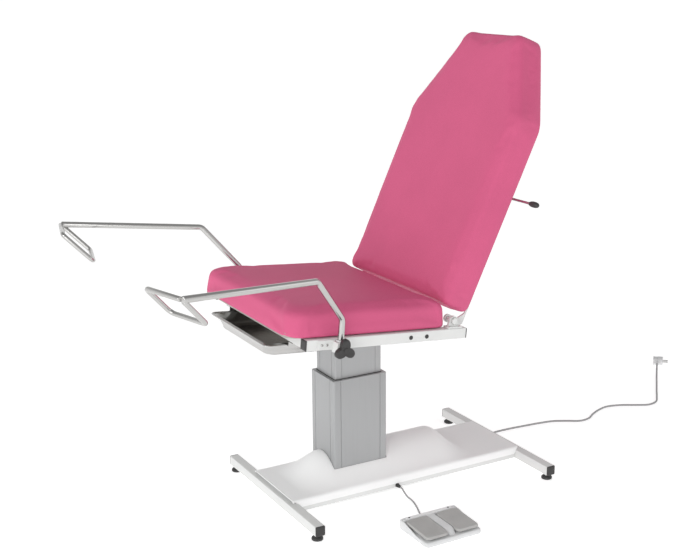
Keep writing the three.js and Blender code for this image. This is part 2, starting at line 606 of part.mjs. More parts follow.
// release lever on the left frame tube
const releaseBox = block(LEVER_X - 17, LEVER_X + 17, -196, -162.8, LEVER_Z - 13, LEVER_Z + 15);
const leverPocket = block(LEVER_X - 8, LEVER_X + 8, -200, -168, LEVER_Z - 9, LEVER_Z + 9);
piece(back, 'release_valve_box', cut(releaseBox, leverPocket), blackPlastic);
const leverRod = cylinder(4, 176, 'y', LEVER_X, -258, LEVER_Z, 10);
const leverKnob = turned([[0, 0], [6, 0], [8.5, 6], [8.8, 26], [7, 34], [0, 38]], 14);
leverKnob.rotateX(Math.PI / 2).translate(LEVER_X, -336, LEVER_Z);
piece(back, 'release_lever', join(leverRod, leverKnob), blackPlastic);

// ---------- footswitch ----------
const { front: switchFront, rear: switchRear, left: switchLeft, right: switchRight } = SWITCH;
const switchMiddle = (switchLeft + switchRight) / 2;
const tub = new THREE.ExtrudeGeometry(
  roundedRect(switchRight - switchLeft, switchRear - switchFront, SWITCH.corner),
  { depth: SWITCH.height, bevelEnabled: false, curveSegments: 4 },
).translate(switchMiddle, (switchFront + switchRear) / 2, 0);
const ridge = block(switchLeft + 6, switchRight - 6, switchRear - 22, switchRear - 2, 5, SWITCH_RIDGE_TOP);
const bridge = block(switchMiddle - SWITCH_BRIDGE_HALF, switchMiddle + SWITCH_BRIDGE_HALF,
  switchFront + 8, switchRear - 10, 5, SWITCH_RIDGE_TOP - 1);
piece(table, 'footswitch_housing', join(tub, ridge, bridge), greyHousing);
const PEDAL_HINGE_Y = switchRear - 30;
for (const [side, s] of sides) {
  const outerX = s > 0 ? switchRight - 5 : switchLeft + 5;
  const innerX = switchMiddle + s * (SWITCH_BRIDGE_HALF + 1.5);
  const width = Math.abs(outerX - innerX);
  const length = PEDAL_HINGE_Y + 7 - switchFront - 4;
  const shape = roundedRect(width, length, 12);
  const pedal = new THREE.ExtrudeGeometry(shape, {
    depth: PEDAL_THICKNESS, bevelEnabled: false, curveSegments: 3,
  });
  pedal.rotateX(rad(2)).translate((outerX + innerX) / 2, switchFront + 4 + length / 2, PEDAL_BOTTOM);
  piece(table, `${side}_pedal`, pedal, greyPedal);
}

// ---------- leads ----------
function curveThrough(points) {
  return new THREE.CatmullRomCurve3(points.map((p) => new THREE.Vector3(...p)), false, 'centripetal');
}

const GLAND_Y = 80;
const GLAND_Z = 26;
const inletPlate = block(530, 533, 64, LONG_TUBE_Y - TUBE / 2 - GAP, 14, 45);
piece(table, 'mains_inlet_plate', cut(inletPlate, cylinder(8.5, 10, 'x', 531, GLAND_Y, GLAND_Z)), darkSteel);
const gland = turned([[0, 0], [11, 0], [11, 6], [7, 8], [4.6, 32], [0, 32]], 12);
piece(table, 'power_gland', alongX(gland).translate(533.4, GLAND_Y, GLAND_Z), blackPlastic);

const powerRoute = [
  [566, 80, 26], [571, 80, 26], [580, 80, 24.8], [594, 82, 18], [612, 85, 8.5], [630, 90, 4.2],
  [665, 99, 3.8], [721, 109, 3.8], [785, 110, 3.8], [850, 105, 3.8], [910, 99, 3.8], [965, 89, 3.8],
  [1010, 66, 3.8], [1050, 43, 3.8], [1092, 46, 3.8], [1134, 71, 3.8], [1178, 91, 3.8], [1225, 102, 3.8],
  [1280, 88, 3.8], [1330, 60, 3.8], [1372, 40, 3.8], [1416, 49, 3.8], [1456, 86, 3.8], [1500, 133, 3.8],
  [1560, 196, 3.8], [1615, 254, 4.5], [1646, 286.4, 9.5], [1670, 311.4, 16.5],
  [1685, 327, 19], [1691.5, 333.7, 19],
];
piece(table, 'power_cord', roundBar(curveThrough(powerRoute), CORD_RADIUS, 72, 8), greyCord);

// angled plug lying on its side: the lead comes in along x, and the pins point along -y
const plug = new THREE.Group();
plug.position.set(1692, 334.2, 19);
plug.rotation.z = rad(46);
table.add(plug);
const plugRelief = alongX(turned([[0, 0], [4.8, 0], [7.5, 20], [0, 20]], 12));
const plugBody = new THREE.ExtrudeGeometry(roundedRect(44, 30, 11), {
  depth: 14, bevelThickness: 2, bevelSize: 2, bevelOffset: -2, bevelSegments: 1, curveSegments: 4,
});
plugBody.rotateX(Math.PI / 2).translate(40, 6, 0);
const plugFace = cylinder(18.5, 14, 'y', 40, -16, 0);
const pins = [-9.5, 9.5].map((offset) => cylinder(2.4, 20, 'y', 40 + offset, -32.5, 0, 8));
piece(plug, 'power_plug', join(plugRelief, plugBody, plugFace, ...pins), greyHousing);

const tubeFaceY = -(LONG_TUBE_Y + TUBE / 2);
const switchGland = turned([[0, 0], [7.5, 0], [7.5, 5], [4.2, 18], [0, 18]], 12);
switchGland.rotateX(Math.PI / 2).translate(182, tubeFaceY - GAP, 25.6);
piece(table, 'footswitch_gland', switchGland, blackPlastic);
const switchRoute = [
  [182, -146, 25.6], [182, -151, 25.6], [182.3, -158, 23], [184, -168, 14.5], [187, -179, 6],
  [189, -192, 3.2], [187, -210, 3.1], [181, -232, 3.1], [173, -256, 3.1], [164, -278, 3.4], [157, -295, 6],
  [154, -308, 9], [153, -319, 10], [153, switchRear + 2 * GAP, 10],
];
piece(table, 'footswitch_cord', roundBar(curveThrough(switchRoute), SWITCH_CORD_RADIUS, 30, 8), greyCord);

export default table;
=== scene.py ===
"""Gynaecological examination table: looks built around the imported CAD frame.

Metres, +Z up, +X towards the head end and -Y on the patient's left, as in the CAD.
"""
import json
import math

import bmesh
import bpy
from mathutils import Matrix, Vector


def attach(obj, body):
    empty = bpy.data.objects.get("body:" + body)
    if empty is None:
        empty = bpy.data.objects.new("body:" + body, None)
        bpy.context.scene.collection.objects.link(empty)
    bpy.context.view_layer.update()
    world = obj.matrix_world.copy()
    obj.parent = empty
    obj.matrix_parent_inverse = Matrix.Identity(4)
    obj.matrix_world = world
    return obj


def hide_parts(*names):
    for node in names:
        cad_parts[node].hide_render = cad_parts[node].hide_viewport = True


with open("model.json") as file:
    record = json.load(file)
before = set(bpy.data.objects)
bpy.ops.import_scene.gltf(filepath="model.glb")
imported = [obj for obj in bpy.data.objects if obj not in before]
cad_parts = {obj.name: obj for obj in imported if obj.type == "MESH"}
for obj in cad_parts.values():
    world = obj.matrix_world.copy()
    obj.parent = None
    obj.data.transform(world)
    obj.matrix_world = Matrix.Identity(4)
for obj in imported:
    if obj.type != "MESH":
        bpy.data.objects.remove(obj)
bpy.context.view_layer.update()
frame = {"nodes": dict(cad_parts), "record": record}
NODES = frame["nodes"]
MM = 0.001
SIDES = (("left", -1), ("right", 1))

# the seat's own frame (u rearward, w up) and the back's (x up the back, z out of its front)
SEAT_TILT = math.radians(5)
BACK_ANGLE = math.radians(69.6)
SEAT = Matrix.Translation((-0.219, 0, 0.575)) @ Matrix.Rotation(SEAT_TILT, 4, "Y")
HINGE_U = 0.480
HINGE_W = 0.051
BACK = SEAT @ Matrix.Translation((HINGE_U, 0, HINGE_W)) @ Matrix.Rotation(-BACK_ANGLE, 4, "Y")


# ---------- camera
def make_camera():
    azimuth = math.radians(-29.53)
    elevation = math.radians(14.84)
    roll = math.radians(-0.36)
    forward = -Vector((math.sin(azimuth) * math.cos(elevation),
                       -math.cos(azimuth) * math.cos(elevation), math.sin(elevation)))
    right = forward.cross(Vector((0, 0, 1))).normalized()
    up = right.cross(forward)
    turned_right = math.cos(roll) * right + math.sin(roll) * up
    turned_up = -math.sin(roll) * right + math.cos(roll) * up
    data = bpy.data.cameras.new("camera")
    data.lens = 61.1
    data.sensor_width = 36
    camera = bpy.data.objects.new("camera", data)
    turn = Matrix((turned_right, turned_up, -forward)).transposed()
    camera.matrix_world = Matrix.Translation((-1.60066, -2.98774, 1.57048)) @ turn.to_4x4()
    bpy.context.scene.collection.objects.link(camera)
    bpy.context.scene.camera = camera


make_camera()


# ---------- materials
def new_material(name, color, roughness, metallic=0.0, **sockets):
    """A material whose Principled shader holds the plain values; returns it with its node helpers."""
    material = bpy.data.materials.new(name)
    material.use_nodes = True
    shader = material.node_tree.nodes["Principled BSDF"]
    shader.inputs["Base Color"].default_value = (*color, 1)
    shader.inputs["Roughness"].default_value = roughness
    shader.inputs["Metallic"].default_value = metallic
    for socket, value in sockets.items():
        shader.inputs[socket.replace("_", " ")].default_value = value
    return material, shader


def add(material, kind, **values):
    node = material.node_tree.nodes.new(kind)
    for key, value in values.items():
        if key in node.inputs:
            node.inputs[key].default_value = value
        else:
            setattr(node, key, value)
    return node


def link(material, out, into):
    material.node_tree.links.new(out, into)


def coordinates(material, stretch=(1, 1, 1)):
    """Object coordinates in metres, stretched."""
    source = add(material, "ShaderNodeTexCoord")
    mapping = add(material, "ShaderNodeMapping")
    mapping.inputs["Scale"].default_value = stretch
    link(material, source.outputs["Object"], mapping.inputs["Vector"])
    return mapping.outputs["Vector"]


def noise(material, vector, scale, detail=3, rough=0.55):
    node = add(material, "ShaderNodeTexNoise", Scale=scale, Detail=detail, Roughness=rough)
    link(material, vector, node.inputs["Vector"])
    return node.outputs["Fac"]


def spread(material, value, low, high, from_low=0.3, from_high=0.7, **settings):
    """Maps a value onto low to high."""
    node = add(material, "ShaderNodeMapRange", **settings)
    ends = {"From Min": from_low, "From Max": from_high, "To Min": low, "To Max": high}
    for socket, number in ends.items():
        node.inputs[socket].default_value = number
    link(material, value, node.inputs["Value"])
    return node.outputs["Result"]


def rgba(sockets):
    """The colour sockets among those of a mix node."""
    return [socket for socket in sockets if socket.type == "RGBA"]


def tint(material, value, first, second):
    """Colour between two, by a 0 to 1 value."""
    node = add(material, "ShaderNodeMix", data_type="RGBA")
    for socket, color in zip(rgba(node.inputs), (first, second)):
        socket.default_value = (*color, 1)
    link(material, value, node.inputs["Factor"])
    return rgba(node.outputs)[0]


def bump(material, shader, heights):
    """Chains bumps of (height value, depth in metres, strength) into the shader's normal."""
    normal = None
    for height, depth, strength in heights:
        node = add(material, "ShaderNodeBump")
        node.inputs["Strength"].default_value = strength
        node.inputs["Distance"].default_value = depth
        link(material, height, node.inputs["Height"])
        if normal is not None:
            link(material, normal, node.inputs["Normal"])
        normal = node.outputs["Normal"]
    link(material, normal, shader.inputs["Normal"])


def scaled(color, factor):
    return tuple(min(1.0, c * factor) for c in color)


def cloud(material, shader, value, color, darker, lighter):
    """Base colour that drifts between two shades."""
    shade = tint(material, spread(material, value, 0, 1), scaled(color, darker), scaled(color, lighter))
    link(material, shade, shader.inputs["Base Color"])


def roughen(material, shader, value, low, high):
    link(material, spread(material, value, low, high), shader.inputs["Roughness"])


def powder_coat(name, color):
    """Satin stove enamel: orange peel and faint clouding."""
    material, shader = new_material(name, color, 0.42)
    place = coordinates(material)
    cloud(material, shader, noise(material, place, 6), color, 0.97, 1.02)
    roughen(material, shader, noise(material, place, 24), 0.36, 0.5)
    bump(material, shader, [(noise(material, place, 900, 2), 0.00003, 0.12)])
    return material


def moulded(name, color, roughness, grain=1400, depth=0.00016):
    """Spark-eroded moulded plastic."""
    material, shader = new_material(name, color, roughness)
    place = coordinates(material)
    cloud(material, shader, noise(material, place, 14), color, 0.94, 1.05)
    roughen(material, shader, noise(material, place, 60), roughness - 0.06, roughness + 0.08)
    bump(material, shader, [(noise(material, place, grain, 2), depth, 0.4)])
    return material


def brushed(name, color, roughness, stretch, metallic=1.0):
    """Metal with fine lines along one axis."""
    material, shader = new_material(name, color, roughness, metallic)
    lines = noise(material, coordinates(material, stretch), 220, 4, 0.7)
    broad = noise(material, coordinates(material), 9)
    cloud(material, shader, lines, color, 0.97, 1.02)
    mixed = add(material, "ShaderNodeMath", operation="ADD")
    link(material, spread(material, lines, roughness - 0.03, roughness + 0.03), mixed.inputs[0])
    link(material, spread(material, broad, -0.03, 0.03), mixed.inputs[1])
    link(material, mixed.outputs[0], shader.inputs["Roughness"])
    bump(material, shader, [(lines, 0.00006, 0.15)])
    return material


def vinyl(name, color):
    """Leathercloth: cells of pebbled grain, a little shading in the creases, and a matt face."""
    material, shader = new_material(name, color, 0.55, Specular_IOR_Level=0.2)
    place = coordinates(material)
    warp = add(material, "ShaderNodeTexNoise", Scale=300, Detail=2)
    link(material, place, warp.inputs["Vector"])
    moved = add(material, "ShaderNodeVectorMath", operation="MULTIPLY_ADD")
    moved.inputs[1].default_value = (0.0012, 0.0012, 0.0012)
    link(material, warp.outputs["Color"], moved.inputs[0])
    link(material, place, moved.inputs[2])
    cells = add(material, "ShaderNodeTexVoronoi", feature="DISTANCE_TO_EDGE", Scale=620)
    link(material, moved.outputs[0], cells.inputs["Vector"])
    grain = spread(material, cells.outputs["Distance"], 0, 1, 0.0, 0.28)
    pores = noise(material, place, 2600, 2)
    broad = noise(material, place, 3.2, 3)
    shade = tint(material, spread(material, broad, 0, 1), scaled(color, 0.95), scaled(color, 1.05))
    creased = add(material, "ShaderNodeMix", data_type="RGBA", blend_type="MULTIPLY", Factor=0.6)
    face, crease = rgba(creased.inputs)
    link(material, shade, face)
    link(material, tint(material, grain, (0.80, 0.74, 0.76), (1, 1, 1)), crease)
    link(material, rgba(creased.outputs)[0], shader.inputs["Base Color"])
    link(material, spread(material, grain, 0.64, 0.54, 0, 1), shader.inputs["Roughness"])
    bump(material, shader, [(broad, 0.002, 0.15), (grain, 0.00022, 0.5), (pores, 0.00006, 0.25)])
    return material


def ply(name):
    """Film-faced ply: dark resin film over long grain."""
    face, vein = (0.420, 0.385, 0.350), (0.330, 0.300, 0.270)
    material, shader = new_material(name, face, 0.6)
    grain = noise(material, coordinates(material, (1, 14, 1)), 16, 6, 0.65)
    rings = noise(material, coordinates(material, (1, 3, 1)), 5, 2)
    mixed = add(material, "ShaderNodeMath", operation="MULTIPLY")
    link(material, grain, mixed.inputs[0])
    link(material, rings, mixed.inputs[1])
    link(material, tint(material, spread(material, mixed.outputs[0], 0, 1, 0.15, 0.4), vein, face),
         shader.inputs["Base Color"])
    bump(material, shader, [(grain, 0.0003, 0.3)])
    return material


def formed_sheet(name, color):
    """Thermoformed white sheet: satin, with faint waves from forming."""
    material, shader = new_material(name, color, 0.5)
    place = coordinates(material)
    waves = noise(material, place, 7, 2)
    cloud(material, shader, waves, color, 0.985, 1)
    roughen(material, shader, noise(material, place, 40), 0.46, 0.54)
    bump(material, shader, [(waves, 0.0006, 0.06)])
    return material


MATERIALS = {
    "white_paint": powder_coat("white_paint", (0.73, 0.735, 0.725)),
    "column_aluminium": brushed("column_aluminium", (0.41, 0.415, 0.42), 0.46, (1, 1, 0.03), 0.45),
    "dark_steel": powder_coat("dark_steel", (0.12, 0.125, 0.13)),
    "stainless": brushed("stainless", (0.52, 0.515, 0.505), 0.22, (0.06, 1, 1)),
    "cover_white": formed_sheet("cover_white", (0.93, 0.93, 0.93)),
    "black_plastic": moulded("black_plastic", (0.035, 0.034, 0.034), 0.5),
    "grey_plastic": moulded("grey_plastic", (0.74, 0.745, 0.75), 0.45),
    "pedal_grey": moulded("pedal_grey", (0.47, 0.465, 0.455), 0.55, 900, 0.0003),
    "pink_vinyl": vinyl("pink_vinyl", (0.700, 0.125, 0.262)),
    "plywood": ply("plywood"),
    "grey_cord": moulded("grey_cord", (0.36, 0.355, 0.36), 0.5, 2200, 0.0001),
}


def paint_cad_nodes():
    """Every CAD node that is shown takes the material of its slot."""
    for part in frame["record"]["subparts"]:
        mesh = NODES[part["node"]].data
        mesh.materials.clear()
        mesh.materials.append(MATERIALS[part["material_slot"]])


paint_cad_nodes()


# ---------- mesh tools
def finish_piece(obj, slot, body, sharp):
    """Gives a piece its material and its body, and shades it smooth up to an angle."""
    obj.data.materials.append(MATERIALS[slot])
    obj.data.polygons.foreach_set("use_smooth", [True] * len(obj.data.polygons))
    obj.data.set_sharp_from_angle(angle=math.radians(sharp))
    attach(obj, body)
    return obj


def raw_object(name, bm):
    """Object from a bmesh, with its faces turned out."""
    bmesh.ops.recalc_face_normals(bm, faces=bm.faces)
    mesh = bpy.data.meshes.new(name)
    bm.to_mesh(mesh)
    bm.free()
    obj = bpy.data.objects.new(name, mesh)
    bpy.context.scene.collection.objects.link(obj)
    return obj


def from_bmesh(name, bm, slot, body, place=None, sharp=35):
    obj = raw_object(name, bm)
    if place is not None:
        obj.data.transform(place)
    return finish_piece(obj, slot, body, sharp)


def apply_modifier(obj, kind, **settings):
    modifier = obj.modifiers.new(kind.lower(), kind)
    for key, value in settings.items():
        setattr(modifier, key, value)
    bpy.context.view_layer.objects.active = obj
    bpy.ops.object.modifier_apply(modifier=modifier.name)


def bridge(bm, low, high):
    """Quads between two rings of vertices."""
    for i in range(len(low)):
        j = (i + 1) % len(low)
        bm.faces.new((low[i], low[j], high[j], high[i]))


def skin(bm, rings, closed=False):
    """Adds a skin over rings of equal numbers of points; its ends are filled unless it closes on itself."""
    made = [[bm.verts.new(p) for p in ring] for ring in rings]
    for low, high in zip(made, made[1:]):
        bridge(bm, low, high)
    if closed:
        bridge(bm, made[-1], made[0])
    else:
        bm.faces.new(made[0])
        bm.faces.new(made[-1])
    return bm


def loft(rings, closed=False):
    return skin(bmesh.new(), rings, closed)


def rounded_outline(width, height, radius, steps, front_radius=None):
    """Rounded rectangle about the origin, counter-clockwise; the corners at -x may have their own radius."""
    points = []
    for quarter in range(4):
        r = front_radius if front_radius is not None and quarter in (1, 2) else radius
        cx = (width / 2 - r) * (1 if quarter in (0, 3) else -1)
        cy = (height / 2 - r) * (1 if quarter in (0, 1) else -1)
        for step in range(steps + 1):
            angle = (quarter + step / steps) * math.pi / 2
            points.append((cx + r * math.cos(angle), cy + r * math.sin(angle)))
    return points


def stacked(levels, width, depth, corner_at, steps, middle=(0, 0)):
    """Rings of rounded rectangles at (inset, height) levels, with their corner radius by inset."""
    rings = []
    for inset, z in levels:
        outline = rounded_outline(width - 2 * inset, depth - 2 * inset, corner_at(inset), steps)
        rings.append([(middle[0] + x, middle[1] + y, z) for x, y in outline])
    return rings


def eased_edges(low, high, low_edge, high_edge, steps):
    """Levels up a side whose lower and upper edges are rounded, as (inset, height) pairs."""
    turns = [i / steps * math.pi / 2 for i in range(steps + 1)]
    lower = [(low_edge * (1 - math.sin(a)), low + low_edge * (1 - math.cos(a))) for a in turns]
    upper = [(high_edge * (1 - math.sin(a)), high - high_edge * (1 - math.cos(a))) for a in turns[::-1]]
    return lower + upper


def circle(radius, height, sides):
    """Points of a level circle about Z."""
    angles = [i / sides * math.tau for i in range(sides)]
    return [(radius * math.cos(a), radius * math.sin(a), height) for a in angles]


def lathe(profile, sides=32):
    """Solid of revolution about Z from (radius, height) pairs; radius 0 at both ends."""
    return loft([circle(max(radius, 1e-5), height, sides) for radius, height in profile])


def rounded_profile(radius, low, high, edge):
    """Lathe profile of a disc or pin whose two rims are rounded."""
    rims = eased_edges(low, high, edge, edge, 4)
    return [(0, low), *((radius - inset, z) for inset, z in rims), (0, high)]


def fillet(points, radius, steps):
    """Polyline with every inner corner turned into an arc."""
    route = [Vector(points[0])]
    for before, corner, after in zip(points, points[1:], points[2:]):
        corner = Vector(corner)
        back = (Vector(before) - corner).normalized()
        ahead = (Vector(after) - corner).normalized()
        half = back.angle(ahead) / 2
        reach = radius / math.tan(half)
        centre = corner + (back + ahead).normalized() * (radius / math.sin(half))
        start = corner + back * reach - centre
        end = corner + ahead * reach - centre
        axis = start.cross(end)
        sweep_angle = start.angle(end)
        for i in range(steps + 1):
            route.append(centre + Matrix.Rotation(sweep_angle * i / steps, 3, axis) @ start)
    route.append(Vector(points[-1]))
    return route


def sweep(route, radius, sides, radii=None):
    """Rings of a round bar along a route, its section carried without twist."""
    rings = []
    tangent = (route[1] - route[0]).normalized()
    side = tangent.orthogonal().normalized()
    for i, point in enumerate(route):
        ahead = route[min(i + 1, len(route) - 1)] - point
        behind = point - route[max(i - 1, 0)]
        new = (ahead.normalized() + behind.normalized()).normalized()
        side = (side - new * side.dot(new)).normalized()
        other = new.cross(side)
        r = radii[i] if radii else radius
        rings.append([point + side * (r * math.cos(a)) + other * (r * math.sin(a))
                      for a in (k / sides * math.tau for k in range(sides))])
    return rings


def between(p, q, start, stop, t):
    """Point on the line that passes p at start and q at stop."""
    return p * ((stop - t) / (stop - start)) + q * ((t - start) / (stop - start))


def spline(points):
    """Centripetal Catmull-Rom curve through the points."""
    per = 8
    vectors = [Vector(p) for p in points]
    ends = [vectors[0] * 2 - vectors[1], *vectors, vectors[-1] * 2 - vectors[-2]]
    route = []
    for a, b, c, d in zip(ends, ends[1:], ends[2:], ends[3:]):
        t0 = 0.0
        t1 = t0 + (b - a).length ** 0.5
        t2 = t1 + (c - b).length ** 0.5
        t3 = t2 + (d - c).length ** 0.5
        for i in range(per):
            t = t1 + (t2 - t1) * i / per
            p = between(a, b, t0, t1, t)
            q = between(b, c, t1, t2, t)
            r = between(c, d, t2, t3, t)
            s = between(p, q, t0, t2, t)
            u = between(q, r, t1, t3, t)
            route.append(between(s, u, t1, t2, t))
    route.append(vectors[-1])
    return route


def towards(axis, origin):
    """Matrix that stands +Z along an axis, at an origin."""
    turn = Vector(axis).to_track_quat("Z", "Y").to_matrix().to_4x4()
    return Matrix.Translation(origin) @ turn


def screw_head(name, origin, axis, body, radius, height, slot="stainless"):
    """Button head with a hexagon socket."""
    sides = 24
    profile = ((radius, 0), (radius, height * 0.35), (radius * 0.86, height * 0.8), (radius * 0.6, height))
    rings = [circle(r, z, sides) for r, z in profile]
    for z in (height, height * 0.35):
        ring = []
        for i in range(sides):
            angle = i / sides * math.tau
            wrapped = (angle % (math.pi / 3)) - math.pi / 6
            r = radius * 0.45 * math.cos(math.pi / 6) / math.cos(wrapped)
            ring.append((r * math.cos(angle), r * math.sin(angle), z))
        rings.append(ring)
    return from_bmesh(name, loft(rings), slot, body, towards(axis, origin), sharp=30)


# ---------- leads
CORD_DIAMETER = 0.007
SWITCH_CORD_DIAMETER = 0.0056
POWER_ROUTE = [
    (0.566, 0.080, 0.026), (0.571, 0.080, 0.026), (0.580, 0.080, 0.0248), (0.594, 0.082, 0.018),
    (0.612, 0.085, 0.0085), (0.630, 0.090, 0.0042), (0.665, 0.099, 0.0038), (0.721, 0.109, 0.0038),
    (0.785, 0.110, 0.0038), (0.850, 0.105, 0.0038), (0.910, 0.099, 0.0038), (0.965, 0.089, 0.0038),
    (1.010, 0.066, 0.0038), (1.050, 0.043, 0.0038), (1.092, 0.046, 0.0038), (1.134, 0.071, 0.0038),
    (1.178, 0.091, 0.0038), (1.225, 0.102, 0.0038), (1.280, 0.088, 0.0038), (1.330, 0.060, 0.0038),
    (1.372, 0.040, 0.0038), (1.416, 0.049, 0.0038), (1.456, 0.086, 0.0038), (1.500, 0.133, 0.0038),
    (1.560, 0.196, 0.0038), (1.615, 0.254, 0.0045), (1.646, 0.2864, 0.0095), (1.670, 0.3114, 0.0165),
    (1.685, 0.327, 0.019), (1.6915, 0.3337, 0.019),
]
SWITCH_ROUTE = [
    (0.182, -0.146, 0.0256), (0.182, -0.151, 0.0256), (0.1823, -0.158, 0.023), (0.184, -0.168, 0.0145),
    (0.187, -0.179, 0.006), (0.189, -0.192, 0.0032), (0.187, -0.210, 0.0031), (0.181, -0.232, 0.0031),
    (0.173, -0.256, 0.0031), (0.164, -0.278, 0.0034), (0.157, -0.295, 0.006), (0.154, -0.308, 0.009),
    (0.153, -0.319, 0.010), (0.153, -0.3294, 0.010),
]


def lead(name, route_points, diameter, node):
    route = spline(route_points)
    piece = from_bmesh(name, loft(sweep(route, diameter / 2, 16)), "grey_cord", "base", sharp=60)
    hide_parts(node)
    return piece, route


# ---------- plug and glands
PLUG = Matrix.Translation((1.692, 0.3342, 0.019)) @ Matrix.Rotation(math.radians(46), 4, "Z")


def ribbed_relief(name, length, wide, narrow, ribs, slot, place, *nodes):
    """Tapered bend relief with grooves; wide at z 0 and narrow at its end."""
    profile = [(0, 0), (wide, 0)]
    for i in range(ribs):
        low = (i + 0.15) / ribs
        high = (i + 0.85) / ribs
        for share, dip in ((low, 0), (low + 0.12 / ribs, 0.0009), (high - 0.12 / ribs, 0.0009), (high, 0)):
            profile.append((wide + (narrow - wide) * share - dip, length * share))
    profile += [(narrow, length), (0, length)]
    piece = from_bmesh(name, lathe(profile), slot, "base", place, sharp=50)
    if nodes:
        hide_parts(*nodes)
    return piece


def make_plug():
    """Angled two-pin plug lying on its side, with a finger grip round its body."""
    rings = []
    depth, half_width = 0.018, 0.022
    for share in (0, 0.06, 0.2, 0.35, 0.42, 0.5, 0.58, 0.65, 0.8, 0.94, 1):
        y = 0.0065 + depth / 2 - depth * share
        edge = 0.002 if share in (0, 1) else 0
        groove = 0.0012 if 0.4 < share < 0.6 else 0
        grown = 1 - edge / half_width - groove / half_width
        outline = rounded_outline(0.043 * grown, 0.029 * grown, 0.0105 * grown, 8)
        rings.append([(0.040 + x, y, z) for x, z in outline])
    body = from_bmesh("plug_body", loft(rings), "grey_plastic", "base", PLUG, sharp=50)
    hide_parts("power_plug")
    face = lathe(rounded_profile(0.0183, -0.001, 0.0195, 0.0022), 48)
    disc = from_bmesh("plug_face", face, "grey_plastic", "base",
                      PLUG @ towards((0, -1, 0), (0.040, -0.003, 0)), sharp=50)
    pins = []
    for number, offset in enumerate((-0.0095, 0.0095)):
        profile = rounded_profile(0.0024, 0, 0.0198, 0.0012)
        pins.append(from_bmesh(f"plug_pin_{number + 1}", lathe(profile, 20), "stainless", "base",
                               PLUG @ towards((0, -1, 0), (0.040 + offset, -0.0225, 0)), sharp=60))
    relief = ribbed_relief("plug_relief", 0.0195, 0.0074, 0.0046, 4, "grey_plastic",
                           PLUG @ towards((-1, 0, 0), (0.0198, 0, 0)))
    return [body, disc, *pins, relief]


def make_leads():
    plug = make_plug()
    gland_place = towards((1, 0, 0), (0.5334, 0.080, 0.026))
    gland = ribbed_relief("mains_gland", 0.032, 0.0095, 0.0046, 6, "black_plastic", gland_place,
                          "power_gland")
    nut = from_bmesh("mains_gland_nut", hexagon(0.0105, 0.006, 0.0008), "black_plastic", "base", gland_place)
    power, route = lead("mains_lead", POWER_ROUTE, CORD_DIAMETER, "power_cord")
    switch_place = towards((0, -1, 0), (0.182, -0.1273, 0.0256))
    switch_gland = ribbed_relief("switch_lead_gland", 0.018, 0.0068, 0.0040, 4, "black_plastic",
                                 switch_place, "footswitch_gland")
    switch, route = lead("switch_lead", SWITCH_ROUTE, SWITCH_CORD_DIAMETER, "footswitch_cord")


def hexagon(corner_radius, height, edge):
    """Hexagonal nut with chamfered rims, standing on z 0."""
    levels = ((0, edge), (edge, 0), (height - edge, 0), (height, edge))
    return loft([circle(corner_radius - inset, z, 6) for z, inset in levels])


make_leads()


# ---------- cushions
CUSHION_VOXEL = 0.006
CUSHION_CAP = 0.009
CUSHION_FRAMES = 20


def puff(obj, held_below):
    """Cloth simulation of the cover over its foam: held below a height, it swells by at most the cap."""
    apply_modifier(obj, "REMESH", mode="VOXEL", voxel_size=CUSHION_VOXEL)
    start = [v.co.copy() for v in obj.data.vertices]
    group = obj.vertex_groups.new(name="held")
    group.add([v.index for v in obj.data.vertices if v.co.z < held_below], 1.0, "REPLACE")
    cloth = obj.modifiers.new("cloth", "CLOTH")
    settings = cloth.settings
    settings.use_pressure = True
    settings.uniform_pressure_force = 4
    settings.effector_weights.gravity = 0
    settings.vertex_group_mass = "held"
    settings.tension_stiffness = 30
    settings.compression_stiffness = 30
    settings.bending_stiffness = 2
    settings.quality = 4
    cloth.point_cache.frame_end = CUSHION_FRAMES
    for step in range(1, CUSHION_FRAMES + 1):
        bpy.context.scene.frame_set(step)
    swollen = obj.evaluated_get(bpy.context.evaluated_depsgraph_get()).data
    moved = []
    for old, vertex in zip(start, swollen.vertices):
        shift = vertex.co - old
        length = shift.length
        share = CUSHION_CAP * math.tanh(length / CUSHION_CAP) / length if length > 0 else 0
        moved.append(old + shift * share)
    obj.modifiers.remove(cloth)
    obj.vertex_groups.clear()
    for vertex, place in zip(obj.data.vertices, moved):
        vertex.co = place
    bpy.context.scene.frame_set(1)


def upholster(name, rings, floor, held, place, body, node):
    """Pad over its board: swollen, relaxed, flat below and held there up to a small height."""
    obj = raw_object(name, loft(rings))
    puff(obj, floor + held)
    apply_modifier(obj, "SMOOTH", factor=0.5, iterations=4)
    for vertex in obj.data.vertices:
        vertex.co.z = max(vertex.co.z, floor)
    apply_modifier(obj, "SUBSURF", levels=1, render_levels=1)
    obj.data.transform(place)
    finish_piece(obj, "pink_vinyl", body, sharp=180)
    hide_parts(node)


def outline_rings(outline_at, levels):
    """One ring of an outline, drawn in by its inset, at each (inset, height) level."""
    return [[(x, y, z) for x, y in outline_at(inset)] for inset, z in levels]


SEAT_PAD = {"front": -0.050, "rear": 0.455, "half": 0.300, "low": 0.0318, "high": 0.1045}


def seat_outline(inset):
    """Outline of the seat, drawn in by an inset; its front corners are the rounder ones."""
    length = SEAT_PAD["rear"] - SEAT_PAD["front"]
    middle = (SEAT_PAD["rear"] + SEAT_PAD["front"]) / 2
    points = rounded_outline(length - 2 * inset, 2 * SEAT_PAD["half"] - 2 * inset, 0.024 - inset * 0.5, 10,
                             0.056 - inset * 0.6)
    return [(middle + x, y) for x, y in points]


BACK_PAD = {"bottom": 0.0275, "shoulder": 0.606, "top": 0.863, "front": 0.0365, "rear": -0.050,
            "half_bottom": 0.2840, "half_shoulder": 0.2885, "half_top": 0.140}


